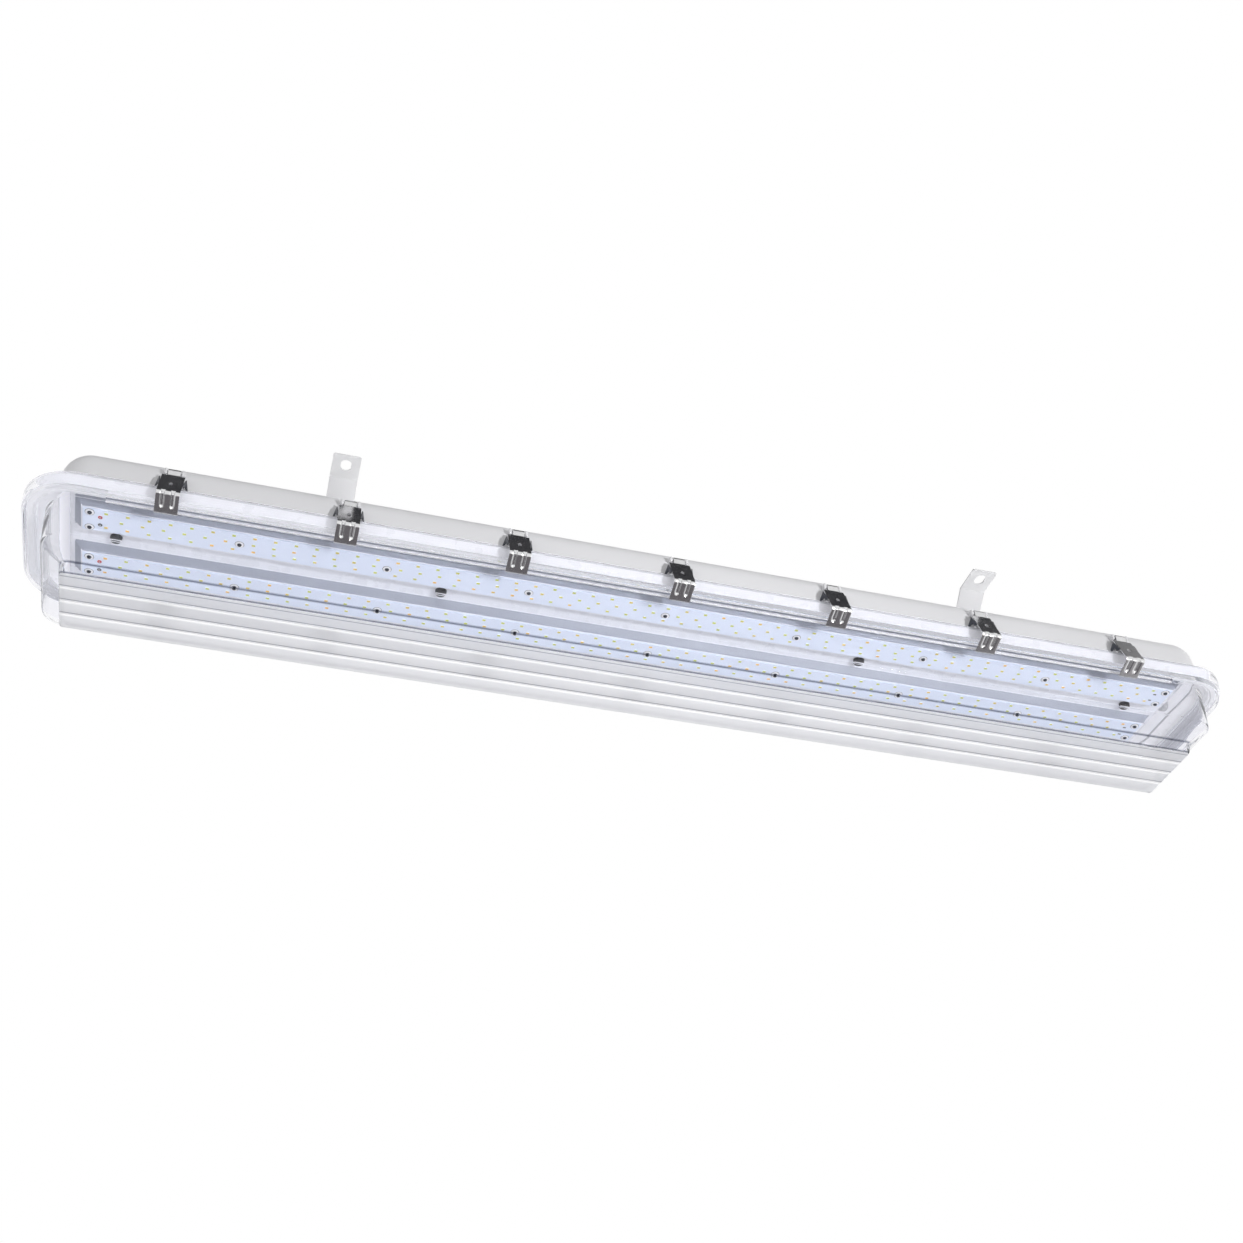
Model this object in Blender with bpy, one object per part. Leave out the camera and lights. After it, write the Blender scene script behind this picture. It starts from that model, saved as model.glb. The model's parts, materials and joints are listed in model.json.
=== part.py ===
"""Vapor tight light fixture: moulded canopy, clear ribbed lens, LED gear tray and stainless latches.

Metres, +Z up. The origin is the centre of the canopy's flat back, the lens hangs below it, X runs along
the fixture and the near long side is -Y. Run with: blender --background --python part.py
"""

import math

import bmesh
import bpy
from mathutils import Matrix, Vector

# Canopy (housing)
BODY_LENGTH = 1.2000
BODY_WIDTH = 0.1620
BODY_HEIGHT = 0.0460
BODY_DRAFT = 0.0015
BODY_CORNER = 0.0300
BACK_RADIUS = 0.0250
BODY_WALL = 0.0030
RIM_PLATE = 0.0030
RIM_RISE = 0.0005
RIM_DEPTH = 0.0125
CHANNEL_WALL = 0.0025
CHANNEL_WIDTH = 0.0065

GATE_DISC = 0.0160
GATE_GROOVE_WIDTH = 0.0010
GATE_GROOVE_DEPTH = 0.0006

# Lens
FLANGE_END_REACH = 0.0280
FLANGE_SIDE_REACH = 0.0070
FLANGE_CORNER = 0.0486
SKIRT_WALL = 0.0022
SKIRT_DRAFT = 0.0006
SKIRT_DEPTH = 0.0190
SKIRT_STRAIGHT = 0.0125
SKIRT_CHAMFER = 0.0034
FLANGE_FOOT = 0.0036
RIM_CLEARANCE = 0.0009
PLATE_THICKNESS = 0.0028
LENS_WALL = 0.0025
WALL_TOP_END_REACH = 0.0045
WALL_TOP_SIDE_INSET = 0.0090
WALL_TOP_CORNER = 0.0280
SHOULDER_END_TAPER = 0.0044
SHOULDER_SIDE_TAPER = 0.0023
SHOULDER_CORNER = 0.0231
SHOULDER_DROP = 0.0593
RIDGE_END_TAPER = 0.0206
RIDGE_SIDE_TAPER = 0.0208
RIDGE_CORNER = 0.0080
RIDGE_STEP = 0.0151
BOTTOM_END_TAPER = 0.0010
BOTTOM_SIDE_TAPER = 0.0088
BOTTOM_CORNER = 0.0030
BOTTOM_CHAMFER = 0.0024
BOTTOM_STEP = 0.0079
GROOVE_PITCH = 0.0200
GROOVE_WIDTH = 0.0030
GROOVE_DEPTH = 0.0010
RAIL_END_INSET = 0.0500
RAIL_INSET = 0.0110
RAIL_WIDTH = 0.0045
RAIL_HEIGHT = 0.0056

# Gear tray
TRAY_SHEET = 0.0010
TRAY_END_GAP = 0.0130
TRAY_SIDE_GAP = 0.0040
TRAY_LIP = 0.0080
TRAY_BASE_RISE = 0.0055
TRAY_CHANNEL_DEPTH = 0.0095
TRAY_CHANNEL_WIDTH = 0.0330
TRAY_CHANNEL_OFFSET = 0.0331
CHANNEL_END_SETBACK = 0.0065

# LED boards
BOARD_END_INSET = 0.0137
BOARD_WIDTH = 0.0308
BOARD_THICKNESS = 0.0016
LED_LENGTH = 0.0035
LED_WIDTH = 0.0028
LED_HEIGHT = 0.0007
LED_PITCH = 0.0197
LED_END_MARGIN = 0.0215
LED_INNER_PITCH = 0.01935
LED_ROW_PITCH = 0.0100
LED_ROW_SHIFT = 0.0020
BOARD_SCREW_SPANS = 8
BOARD_SCREW_MARGIN = 0.0033
BOARD_SCREW_CLEARANCE = 0.0065
BOARD_END_SCREW_INSET = 0.0066
BOARD_END_SCREW_SPACING = 0.0217
BOARD_SCREW_HEAD = 0.0052
BOARD_SCREW_HEIGHT = 0.0016
PAD_INSET = 0.0163
PAD_SPACING = 0.0110
PAD_DIAMETER = 0.0042
PAD_HEIGHT = 0.0008

# Tray retainers
RETAINER_INNER_PLACE = 0.2263
RETAINER_END_INSET = 0.0433
RETAINER_HEAD = 0.0120
RETAINER_HEAD_HEIGHT = 0.0050
RETAINER_STEM = 0.0050
RETAINER_STEM_LENGTH = 0.0180
RETAINER_GRIP_WIDTH = 0.0024
RETAINER_GRIP_HEIGHT = 0.0016
BOSS_DIAMETER = 0.0120

# Driver, terminals and leads
DRIVER_LENGTH = 0.2800
DRIVER_WIDTH = 0.0340
DRIVER_HEIGHT = 0.0220
DRIVER_PLACE = -0.0500
DRIVER_EDGE = 0.0020
TERMINAL_LENGTH = 0.0300
TERMINAL_WIDTH = 0.0180
TERMINAL_HEIGHT = 0.0150
TERMINAL_PLACE = 0.3200
TERMINAL_POLES = 3
TERMINAL_SCREW = 0.0040
TERMINAL_RECESS = 0.0020
LEAD_DIAMETER = 0.0020
LEAD_SPACING = 0.0060
LEAD_SLACK = 0.0140
LEAD_HOLE = 0.0042
LEAD_BEND = 0.0040

# Cable gland
GLAND_THREAD = 0.0160
GLAND_FLANGE = 0.0210
GLAND_FLANGE_LENGTH = 0.0060
GLAND_NUT = 0.0190
GLAND_NUT_LENGTH = 0.0110
GLAND_BORE = 0.0080
GLAND_THREAD_LENGTH = 0.0090
GLAND_CLEARANCE = 0.0009

# Mounting straps
STRAP_PLACE = 0.3400
STRAP_WIDTH = 0.0275
STRAP_THICKNESS = 0.0015
STRAP_FOOT = 0.0780
STRAP_RISE = 0.0270
STRAP_REACH = 0.0265
STRAP_EAR = 0.0320
STRAP_EAR_CORNER = 0.0020
STRAP_SLOT_WIDTH = 0.0105
STRAP_SLOT_LENGTH = 0.0150
STRAP_SLOT_PLACE = 0.0180
STRAP_SCREW_PLACE = 0.0240
STRAP_SCREW_HEAD = 0.0084
STRAP_SCREW_SHANK = 0.0040
STRAP_SCREW_HEIGHT = 0.0028
STRAP_SCREW_LENGTH = 0.0090

# Latches
LATCH_COUNT = 7
LATCH_END_INSET = 0.0541
LATCH_SHEET = 0.0010
LATCH_WIDTH = 0.0215
LATCH_TONGUE_WIDTH = 0.0120
HINGE_STANDOFF = 0.0039
HINGE_RISE = 0.0244
HINGE_BAR = 0.0024
KNUCKLE_RADIUS = 0.0021
LATCH_TONGUE_LENGTH = 0.0068
LATCH_BEND_OVERHANG = 0.0133
LATCH_BEND_DROP = 0.0145
LATCH_BEND_RADIUS = 0.0035
LATCH_KNEE_INSET = 0.0010
LATCH_KNEE_DROP = 0.0220
RIB_OFFSET = 0.0046
RIB_FLOOR = 0.0012
RIB_FLANK = 0.0008
RIB_DEPTH = 0.0006
RIB_START = 0.0100
LATCH_HOLE = 0.0028
LATCH_HOLE_PLACE = 0.0195
CHEEK_SPREAD = 0.0045
CHEEK_TOP = 0.0080
CHEEK_HEIGHT = 0.0160
CHEEK_FOOT_DROP = 0.0200
CHEEK_NOTCH = 0.0036
LUG_WIDTH = 0.0060
LUG_REACH = 0.0032
LUG_HEIGHT = 0.0110
LUG_CHAMFER = 0.0022

# Fits
GAP = 0.0003
LOOSE = 0.0006
OVERRUN = 0.0010
BITE = 0.0006

# How finely the round forms are cut
CORNER_STEPS = 5
BACK_STEPS = 4
ROUND_STEPS = 16
SMALL_ROUND_STEPS = 8
CURL_STEPS = 6
SMOOTH_ANGLE = math.radians(32.0)

# Derived sizes
FLANGE_LENGTH = BODY_LENGTH + 2 * FLANGE_END_REACH
FLANGE_WIDTH = BODY_WIDTH + 2 * FLANGE_SIDE_REACH
WALL_TOP_LENGTH = BODY_LENGTH + 2 * WALL_TOP_END_REACH
WALL_TOP_WIDTH = BODY_WIDTH - 2 * WALL_TOP_SIDE_INSET
SHOULDER_LENGTH = WALL_TOP_LENGTH - 2 * SHOULDER_END_TAPER
SHOULDER_WIDTH = WALL_TOP_WIDTH - 2 * SHOULDER_SIDE_TAPER
RIDGE_LENGTH = SHOULDER_LENGTH - 2 * RIDGE_END_TAPER
RIDGE_WIDTH = SHOULDER_WIDTH - 2 * RIDGE_SIDE_TAPER
BOTTOM_LENGTH = RIDGE_LENGTH - 2 * BOTTOM_END_TAPER
BOTTOM_WIDTH = RIDGE_WIDTH - 2 * BOTTOM_SIDE_TAPER
RAIL_LENGTH = BODY_LENGTH - 2 * RAIL_END_INSET
RAIL_INNER = FLANGE_WIDTH - 2 * RAIL_INSET
PLATE_DROP = RIM_DEPTH + RIM_CLEARANCE
RAIL_DROP = PLATE_DROP + PLATE_THICKNESS + RAIL_HEIGHT
RIDGE_DROP = SHOULDER_DROP + RIDGE_STEP
LENS_DEPTH = RIDGE_DROP + BOTTOM_STEP
TRAY_LENGTH = BODY_LENGTH - 2 * TRAY_END_GAP
TRAY_WIDTH = WALL_TOP_WIDTH - 2 * TRAY_SIDE_GAP
BOARD_LENGTH = TRAY_LENGTH - 2 * BOARD_END_INSET
BOARD_SCREW_PITCH = (BOARD_LENGTH - 2 * BOARD_SCREW_MARGIN) / BOARD_SCREW_SPANS
BOARD_END_SCREW = BOARD_LENGTH / 2 - BOARD_END_SCREW_INSET
PAD_PLACE = BOARD_LENGTH / 2 - PAD_INSET
LED_OUTER_COUNT = int((BOARD_LENGTH - 2 * LED_END_MARGIN) / LED_PITCH) + 1
LED_INNER_COUNT = int((BOARD_SCREW_PITCH - BOARD_SCREW_CLEARANCE) / LED_INNER_PITCH)
LATCH_PITCH = (RAIL_LENGTH - 2 * LATCH_END_INSET) / (LATCH_COUNT - 1)
RETAINER_PLACES = (RETAINER_INNER_PLACE, TRAY_LENGTH / 2 - RETAINER_END_INSET)
GLAND_RISE = RIM_RISE + GLAND_CLEARANCE + GLAND_FLANGE / 2 / math.cos(math.pi / 6)

# Derived places
JOINT_Z = -BODY_HEIGHT
TRAY_Z = JOINT_Z + TRAY_BASE_RISE
TRAY_TOP = TRAY_Z + TRAY_SHEET
BOARD_SEAT = TRAY_Z - TRAY_CHANNEL_DEPTH
BOARD_TOP = BOARD_SEAT - GAP
BOARD_FACE = BOARD_TOP - BOARD_THICKNESS
HINGE_Y = BODY_WIDTH / 2 - BODY_DRAFT + HINGE_STANDOFF
HINGE_Z = JOINT_Z + HINGE_RISE
PLATE_TOP = JOINT_Z - PLATE_DROP
PLATE_UNDER = PLATE_TOP - PLATE_THICKNESS
RAIL_BOTTOM = JOINT_Z - RAIL_DROP
INNER_BACK = -BODY_WALL

MATERIALS = {
    "canopy": ((0.62, 0.62, 0.64, 1.0), 0.45, 0.0),
    "lens": ((0.93, 0.95, 0.97, 1.0), 0.06, 0.0),
    "rubber": ((0.80, 0.80, 0.78, 1.0), 0.70, 0.0),
    "tray": ((0.72, 0.74, 0.80, 1.0), 0.35, 0.0),
    "board": ((0.80, 0.84, 0.95, 1.0), 0.40, 0.0),
    "steel": ((0.55, 0.55, 0.56, 1.0), 0.25, 1.0),
    "zinc": ((0.85, 0.85, 0.86, 1.0), 0.35, 0.0),
    "dark": ((0.05, 0.05, 0.06, 1.0), 0.45, 0.0),
    "driver": ((0.78, 0.78, 0.78, 1.0), 0.50, 0.0),
    "red": ((0.55, 0.03, 0.03, 1.0), 0.45, 0.0),
    "black": ((0.02, 0.02, 0.02, 1.0), 0.45, 0.0),
    "terminal": ((0.85, 0.84, 0.80, 1.0), 0.45, 0.0),
    "gland": ((0.45, 0.46, 0.48, 1.0), 0.50, 0.0),
}


def clear_scene():
    """Remove every object of the open scene."""
    for item in list(bpy.data.objects):
        bpy.data.objects.remove(item, do_unlink=True)


def make_material(key):
    """A Principled material from the table, made once."""
    found = bpy.data.materials.get(key)
    if found:
        return found
    colour, roughness, metallic = MATERIALS[key]
    made = bpy.data.materials.new(key)
    made.use_nodes = True
    shader = made.node_tree.nodes["Principled BSDF"]
    shader.inputs["Base Color"].default_value = colour
    shader.inputs["Roughness"].default_value = roughness
    shader.inputs["Metallic"].default_value = metallic
    made.diffuse_color = colour
    return made


def add_object(name, mesh, key=None, parent=None, location=(0.0, 0.0, 0.0), turn=0.0):
    """Link a mesh as one named object, smooth where its faces meet gently."""
    mesh.shade_smooth()
    mesh.set_sharp_from_angle(angle=SMOOTH_ANGLE)
    item = bpy.data.objects.new(name, mesh)
    bpy.context.scene.collection.objects.link(item)
    if key:
        mesh.materials.clear()
        mesh.materials.append(make_material(key))
    item.location = location
    item.rotation_euler = (0.0, 0.0, turn)
    item.parent = parent
    return item


def finish_mesh(bm, name):
    """Turn a bmesh into a mesh with its faces pointing out."""
    bmesh.ops.recalc_face_normals(bm, faces=bm.faces)
    mesh = bpy.data.meshes.new(name)
    bm.to_mesh(mesh)
    bm.free()
    return mesh


def boolean(item, cutter, operation):
    """Add one exact Boolean with a hidden cutter."""
    cutter.hide_render = True
    cutter.display_type = "WIRE"
    modifier = item.modifiers.new(cutter.name, "BOOLEAN")
    modifier.operation = operation
    modifier.solver = "EXACT"
    modifier.object = cutter


def loop_points(half_length, half_width, radius, z):
    """The points of one rounded rectangle, the same number whatever its size."""
    points = []
    centres = (
        (half_length - radius, half_width - radius),
        (radius - half_length, half_width - radius),
        (radius - half_length, radius - half_width),
        (half_length - radius, radius - half_width),
    )
    for quarter, (x, y) in enumerate(centres):
        for step in range(CORNER_STEPS + 1):
            angle = math.pi / 2 * (quarter + step / CORNER_STEPS)
            points.append((x + radius * math.cos(angle), y + radius * math.sin(angle), z))
    return points


def inset(loop, side, z):
    """The same outline drawn in by one distance, at another height."""
    half_length, half_width, radius, _ = loop
    return (half_length - side, half_width - side, max(radius - side, BITE), z)


def loft(name, loops, closed=False):
    """A solid through rounded rectangles, capped at both ends or closed on itself."""
    bm = bmesh.new()
    rings = [[bm.verts.new(point) for point in loop_points(*loop)] for loop in loops]
    pairs = list(zip(rings, rings[1:] + rings[:1] if closed else rings[1:]))
    for low, high in pairs:
        for index in range(len(low)):
            after = (index + 1) % len(low)
            bm.faces.new((low[index], low[after], high[after], high[index]))
    if not closed:
        bm.faces.new(rings[0])
        bm.faces.new(rings[-1])
    return finish_mesh(bm, name)


def add_box(bm, low, high):
    """Add a closed box between two corners."""
    middle = [(a + b) / 2 for a, b in zip(low, high)]
    size = [b - a for a, b in zip(low, high)]
    place = Matrix.Translation(middle) @ Matrix.Diagonal((*size, 1.0))
    bmesh.ops.create_cube(bm, size=1.0, matrix=place)


def add_cylinder(bm, radius, low, high, place, axis="Z", steps=ROUND_STEPS):
    """Add a closed cylinder from low to high along one axis through place."""
    turns = {"Z": Matrix.Identity(4), "X": Matrix.Rotation(math.pi / 2, 4, "Y")}
    along = Vector((1.0, 0.0, 0.0)) if axis == "X" else Vector((0.0, 0.0, 1.0))
    middle = Vector(place) + along * (low + high) / 2
    bmesh.ops.create_cone(
        bm,
        cap_ends=True,
        segments=steps,
        radius1=radius,
        radius2=radius,
        depth=high - low,
        matrix=Matrix.Translation(middle) @ turns[axis],
    )


def add_prism(bm, outline, low, high, axis="X"):
    """Add a closed prism: an outline of (y, z) run along X, or of (x, y) run along Z."""
    ends = []
    for at in (low, high):
        points = [(at, a, b) if axis == "X" else (a, b, at) for a, b in outline]
        ends.append([bm.verts.new(point) for point in points])
    count = len(outline)
    bm.faces.new(ends[0])
    bm.faces.new(list(reversed(ends[1])))
    for index in range(count):
        after = (index + 1) % count
        bm.faces.new((ends[0][after], ends[0][index], ends[1][index], ends[1][after]))


def latch_places():
    """The X of every latch on one long side, centred."""
    middle = (LATCH_COUNT - 1) / 2
    return [(index - middle) * LATCH_PITCH for index in range(LATCH_COUNT)]


def retainer_places():
    """The X of the retainers on the centre line."""
    return sorted([-place for place in RETAINER_PLACES] + list(RETAINER_PLACES))


def rim_loop():
    """The canopy rim's outer outline, a clearance inside the lens skirt."""
    outer = (FLANGE_LENGTH / 2, FLANGE_WIDTH / 2, FLANGE_CORNER, JOINT_Z)
    return inset(outer, SKIRT_WALL + LOOSE, JOINT_Z)


def housing_loops():
    """The canopy's skin from the middle of its back, out over the rim and back up inside."""
    rim = rim_loop()
    top = JOINT_Z + RIM_RISE
    bottom = JOINT_Z - RIM_DEPTH
    under = top - RIM_PLATE
    wall = (BODY_LENGTH / 2, BODY_WIDTH / 2, BODY_CORNER, top)
    loops = []
    for step in range(BACK_STEPS + 1):
        angle = math.pi / 2 * step / BACK_STEPS
        side = BACK_RADIUS * (1 - math.sin(angle)) + BODY_DRAFT
        loops.append(inset(wall, side, -BACK_RADIUS * (1 - math.cos(angle))))
    loops.append(wall)
    loops.append(inset(rim, 0.0, top))
    loops.append(inset(rim, 0.0, bottom))
    loops.append(inset(rim, CHANNEL_WALL, bottom))
    loops.append(inset(rim, CHANNEL_WALL, under))
    loops.append(inset(rim, CHANNEL_WALL + CHANNEL_WIDTH, under))
    loops.append(inset(rim, CHANNEL_WALL + CHANNEL_WIDTH, bottom))
    inner = inset(rim, 2 * CHANNEL_WALL + CHANNEL_WIDTH, bottom)
    loops.append(inner)
    loops.append(inset(inner, 0.0, under))
    mouth = inset(wall, BODY_WALL, under)
    opening = (mouth[0] - BITE, min(mouth[1], inner[1] - BITE), mouth[2], under)
    loops.append(opening)
    loops.append(inset(opening, 0.0, top))
    loops.append(inset(mouth, 0.0, top))
    inner_radius = BACK_RADIUS - BODY_WALL
    for step in range(BACK_STEPS, -1, -1):
        angle = math.pi / 2 * step / BACK_STEPS
        side = inner_radius * (1 - math.sin(angle)) + BODY_DRAFT + BODY_WALL
        loops.append(inset(wall, side, INNER_BACK - inner_radius * (1 - math.cos(angle))))
    return loops


def lug_outline():
    """The side view of one lug cheek, from inside the wall to its bevelled nose."""
    root = BODY_WIDTH / 2 - BODY_DRAFT - BODY_WALL / 2
    nose = HINGE_Y + LUG_REACH
    low = HINGE_Z - LUG_HEIGHT / 2
    high = HINGE_Z + LUG_HEIGHT / 2
    return [
        (root, low + LUG_CHAMFER),
        (nose - LUG_CHAMFER, low),
        (nose, low + LUG_CHAMFER),
        (nose, high - LUG_CHAMFER),
        (nose - LUG_CHAMFER, high),
        (root - LUG_CHAMFER, high),
    ]


def lug_cheeks():
    """Two cheeks for each latch on both long sides."""
    bm = bmesh.new()
    start = LATCH_TONGUE_WIDTH / 2 + GAP
    for x in latch_places():
        for side in (-1, 1):
            outline = [(side * y, z) for y, z in lug_outline()]
            for end in (-1, 1):
                low, high = sorted((x + end * start, x + end * (start + LUG_WIDTH)))
                add_prism(bm, outline, low, high)
    return finish_mesh(bm, "lug_cheeks")


def hinge_bars():
    """The moulded bar between each pair of cheeks."""
    bm = bmesh.new()
    reach = LATCH_TONGUE_WIDTH / 2 + GAP + BITE
    for x in latch_places():
        for side in (-1, 1):
            place = (x, side * HINGE_Y, HINGE_Z)
            add_cylinder(bm, HINGE_BAR / 2, -reach, reach, place, "X", SMALL_ROUND_STEPS)
    return finish_mesh(bm, "hinge_bars")


def housing_bosses():
    """Posts down from the back for the tray retainers and pads for the strap screws."""
    bm = bmesh.new()
    root = INNER_BACK + BODY_WALL / 2
    for x in retainer_places():
        add_cylinder(bm, BOSS_DIAMETER / 2, TRAY_TOP + GAP, root, (x, 0.0, 0.0))
    low = -STRAP_SCREW_LENGTH - BODY_WALL
    for x in (-STRAP_PLACE, STRAP_PLACE):
        for y in (-STRAP_SCREW_PLACE, STRAP_SCREW_PLACE):
            add_cylinder(bm, STRAP_SCREW_HEAD / 2, low, root, (x, y, 0.0))
    return finish_mesh(bm, "housing_bosses")


def gate_ring():
    """A fine round groove that sets off the moulding gate's disc in the middle of the back."""
    disc = GATE_DISC / 2
    depth = -GATE_GROOVE_DEPTH
    bm = bmesh.new()
    path = [(disc, depth), (disc + GATE_GROOVE_WIDTH, depth), (disc + GATE_GROOVE_WIDTH, OVERRUN), (disc, OVERRUN)]
    corners = [bm.verts.new((radius, 0.0, z)) for radius, z in path]
    edges = [bm.edges.new((corners[index], corners[index - 1])) for index in range(len(corners))]
    bmesh.ops.spin(
        bm,
        geom=corners + edges,
        cent=(0.0, 0.0, 0.0),
        axis=(0.0, 0.0, 1.0),
        angle=2 * math.pi,
        steps=ROUND_STEPS,
        use_merge=True,
    )
    return finish_mesh(bm, "gate_ring")


def housing_holes():
    """Blind bores for the retainers and strap screws, and the cable entry."""
    bm = bmesh.new()
    bore = RETAINER_STEM / 2 + GAP
    top = TRAY_Z + RETAINER_STEM_LENGTH + GAP
    for x in retainer_places():
        add_cylinder(bm, bore, TRAY_TOP - OVERRUN, top, (x, 0.0, 0.0), steps=SMALL_ROUND_STEPS)
    bore = STRAP_SCREW_SHANK / 2 + GAP
    for x in (-STRAP_PLACE, STRAP_PLACE):
        for y in (-STRAP_SCREW_PLACE, STRAP_SCREW_PLACE):
            low = -STRAP_SCREW_LENGTH - GAP
            add_cylinder(bm, bore, low, OVERRUN, (x, y, 0.0), steps=SMALL_ROUND_STEPS)
    end = BODY_LENGTH / 2
    place = (0.0, 0.0, JOINT_Z + GLAND_RISE)
    low = end - BODY_DRAFT - BODY_WALL - OVERRUN
    add_cylinder(bm, GLAND_THREAD / 2 + GAP, low, end + OVERRUN, place, "X")
    return finish_mesh(bm, "housing_holes")


def build_housing():
    housing = add_object("housing", loft("housing", housing_loops()), "canopy")
    boolean(housing, add_object("lug_cheeks", lug_cheeks()), "UNION")
    boolean(housing, add_object("hinge_bars", hinge_bars()), "UNION")
    boolean(housing, add_object("housing_bosses", housing_bosses()), "UNION")
    boolean(housing, add_object("housing_holes", housing_holes()), "DIFFERENCE")
    boolean(housing, add_object("gate_ring", gate_ring()), "DIFFERENCE")


def build_gasket():
    """A square cord of rubber in the rim's channel, resting on the lens flange."""
    rim = rim_loop()
    top = JOINT_Z + RIM_RISE - RIM_PLATE - GAP
    bottom = PLATE_TOP + GAP
    outer = CHANNEL_WALL + GAP
    inner = CHANNEL_WALL + CHANNEL_WIDTH - GAP
    loops = [inset(rim, outer, top), inset(rim, outer, bottom), inset(rim, inner, bottom), inset(rim, inner, top)]
    add_object("gasket", loft("gasket", loops, closed=True), "rubber")


def lens_outer_loops():
    """The lens's outside, from the skirt's top edge down to its flat bottom."""
    skirt = (FLANGE_LENGTH / 2, FLANGE_WIDTH / 2, FLANGE_CORNER, JOINT_Z)
    chamfer = SKIRT_DRAFT + SKIRT_CHAMFER
    return [
        skirt,
        inset(skirt, SKIRT_DRAFT, JOINT_Z - SKIRT_STRAIGHT),
        inset(skirt, chamfer, JOINT_Z - SKIRT_DEPTH),
        inset(skirt, chamfer + FLANGE_FOOT, PLATE_UNDER),
        (WALL_TOP_LENGTH / 2, WALL_TOP_WIDTH / 2, WALL_TOP_CORNER, PLATE_UNDER),
        (SHOULDER_LENGTH / 2, SHOULDER_WIDTH / 2, SHOULDER_CORNER, JOINT_Z - SHOULDER_DROP),
        (RIDGE_LENGTH / 2, RIDGE_WIDTH / 2, RIDGE_CORNER, JOINT_Z - RIDGE_DROP),
        (
            BOTTOM_LENGTH / 2 + BITE,
            BOTTOM_WIDTH / 2 + BOTTOM_CHAMFER,
            BOTTOM_CORNER,
            JOINT_Z - LENS_DEPTH + BOTTOM_CHAMFER / 2,
        ),
        (BOTTOM_LENGTH / 2, BOTTOM_WIDTH / 2, BOTTOM_CORNER, JOINT_Z - LENS_DEPTH),
    ]


def lens_loops():
    """Outside down, then the inside back up to the skirt."""
    outer = lens_outer_loops()
    skirt, _, _, _, wall_top, shoulder, ridge, _, bottom = outer
    rise = LENS_WALL / 2
    inner = [
        inset(bottom, LENS_WALL / 2, bottom[3] + LENS_WALL),
        inset(ridge, LENS_WALL, ridge[3] + rise),
        inset(shoulder, LENS_WALL, shoulder[3] + rise),
        inset(wall_top, LENS_WALL, PLATE_TOP),
        inset(skirt, SKIRT_WALL, PLATE_TOP),
        inset(skirt, SKIRT_WALL, JOINT_Z),
    ]
    return outer, inner


def lens_mesh():
    """Both skins of the lens, joined over the skirt's top edge and closed below."""
    outer, inner = lens_loops()
    return loft("lens", list(reversed(outer)) + list(reversed(inner)))


def lens_rails():
    """The bead under each long side that the latches pull on."""
    bm = bmesh.new()
    low_y = RAIL_INNER / 2
    high_y = low_y + RAIL_WIDTH
    for side in (-1, 1):
        near, far = sorted((side * low_y, side * high_y))
        low = (-RAIL_LENGTH / 2, near, RAIL_BOTTOM)
        add_box(bm, low, (RAIL_LENGTH / 2, far, PLATE_UNDER + BITE))
    return finish_mesh(bm, "lens_rails")


def lens_grooves():
    """Three V grooves along the flat bottom, which leave four flat ribs."""
    bm = bmesh.new()
    face = JOINT_Z - LENS_DEPTH
    half = GROOVE_WIDTH / 2
    wide = half * (GROOVE_DEPTH + OVERRUN) / GROOVE_DEPTH
    reach = BOTTOM_LENGTH / 2 + OVERRUN + BITE
    for index in (-1, 0, 1):
        y = index * GROOVE_PITCH
        outline = [(y - wide, face - OVERRUN), (y + wide, face - OVERRUN), (y, face + GROOVE_DEPTH)]
        add_prism(bm, outline, -reach, reach)
    return finish_mesh(bm, "lens_grooves")


def build_lens():
    lens = add_object("lens", lens_mesh(), "lens")
    boolean(lens, add_object("lens_rails", lens_rails()), "UNION")
    boolean(lens, add_object("lens_grooves", lens_grooves()), "DIFFERENCE")


def tray_section():
    """The sheet's section: two channels pressed down and a lip turned up at each side."""
    half = TRAY_WIDTH / 2
    inner = TRAY_CHANNEL_OFFSET - TRAY_CHANNEL_WIDTH / 2
    outer = TRAY_CHANNEL_OFFSET + TRAY_CHANNEL_WIDTH / 2
    lip = TRAY_TOP + TRAY_LIP
    floor = BOARD_SEAT + TRAY_SHEET
    under = [(half, lip), (half, TRAY_Z), (outer, TRAY_Z), (outer, BOARD_SEAT), (inner, BOARD_SEAT), (inner, TRAY_Z)]
    over = [
        (inner + TRAY_SHEET, TRAY_TOP),
        (inner + TRAY_SHEET, floor),
        (outer - TRAY_SHEET, floor),
        (outer - TRAY_SHEET, TRAY_TOP),
        (half - TRAY_SHEET, TRAY_TOP),
        (half - TRAY_SHEET, lip),
    ]
    left_under = [(-y, z) for y, z in reversed(under)]
    left_over = [(-y, z) for y, z in reversed(over)]
    return under + left_under + left_over + over


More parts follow.
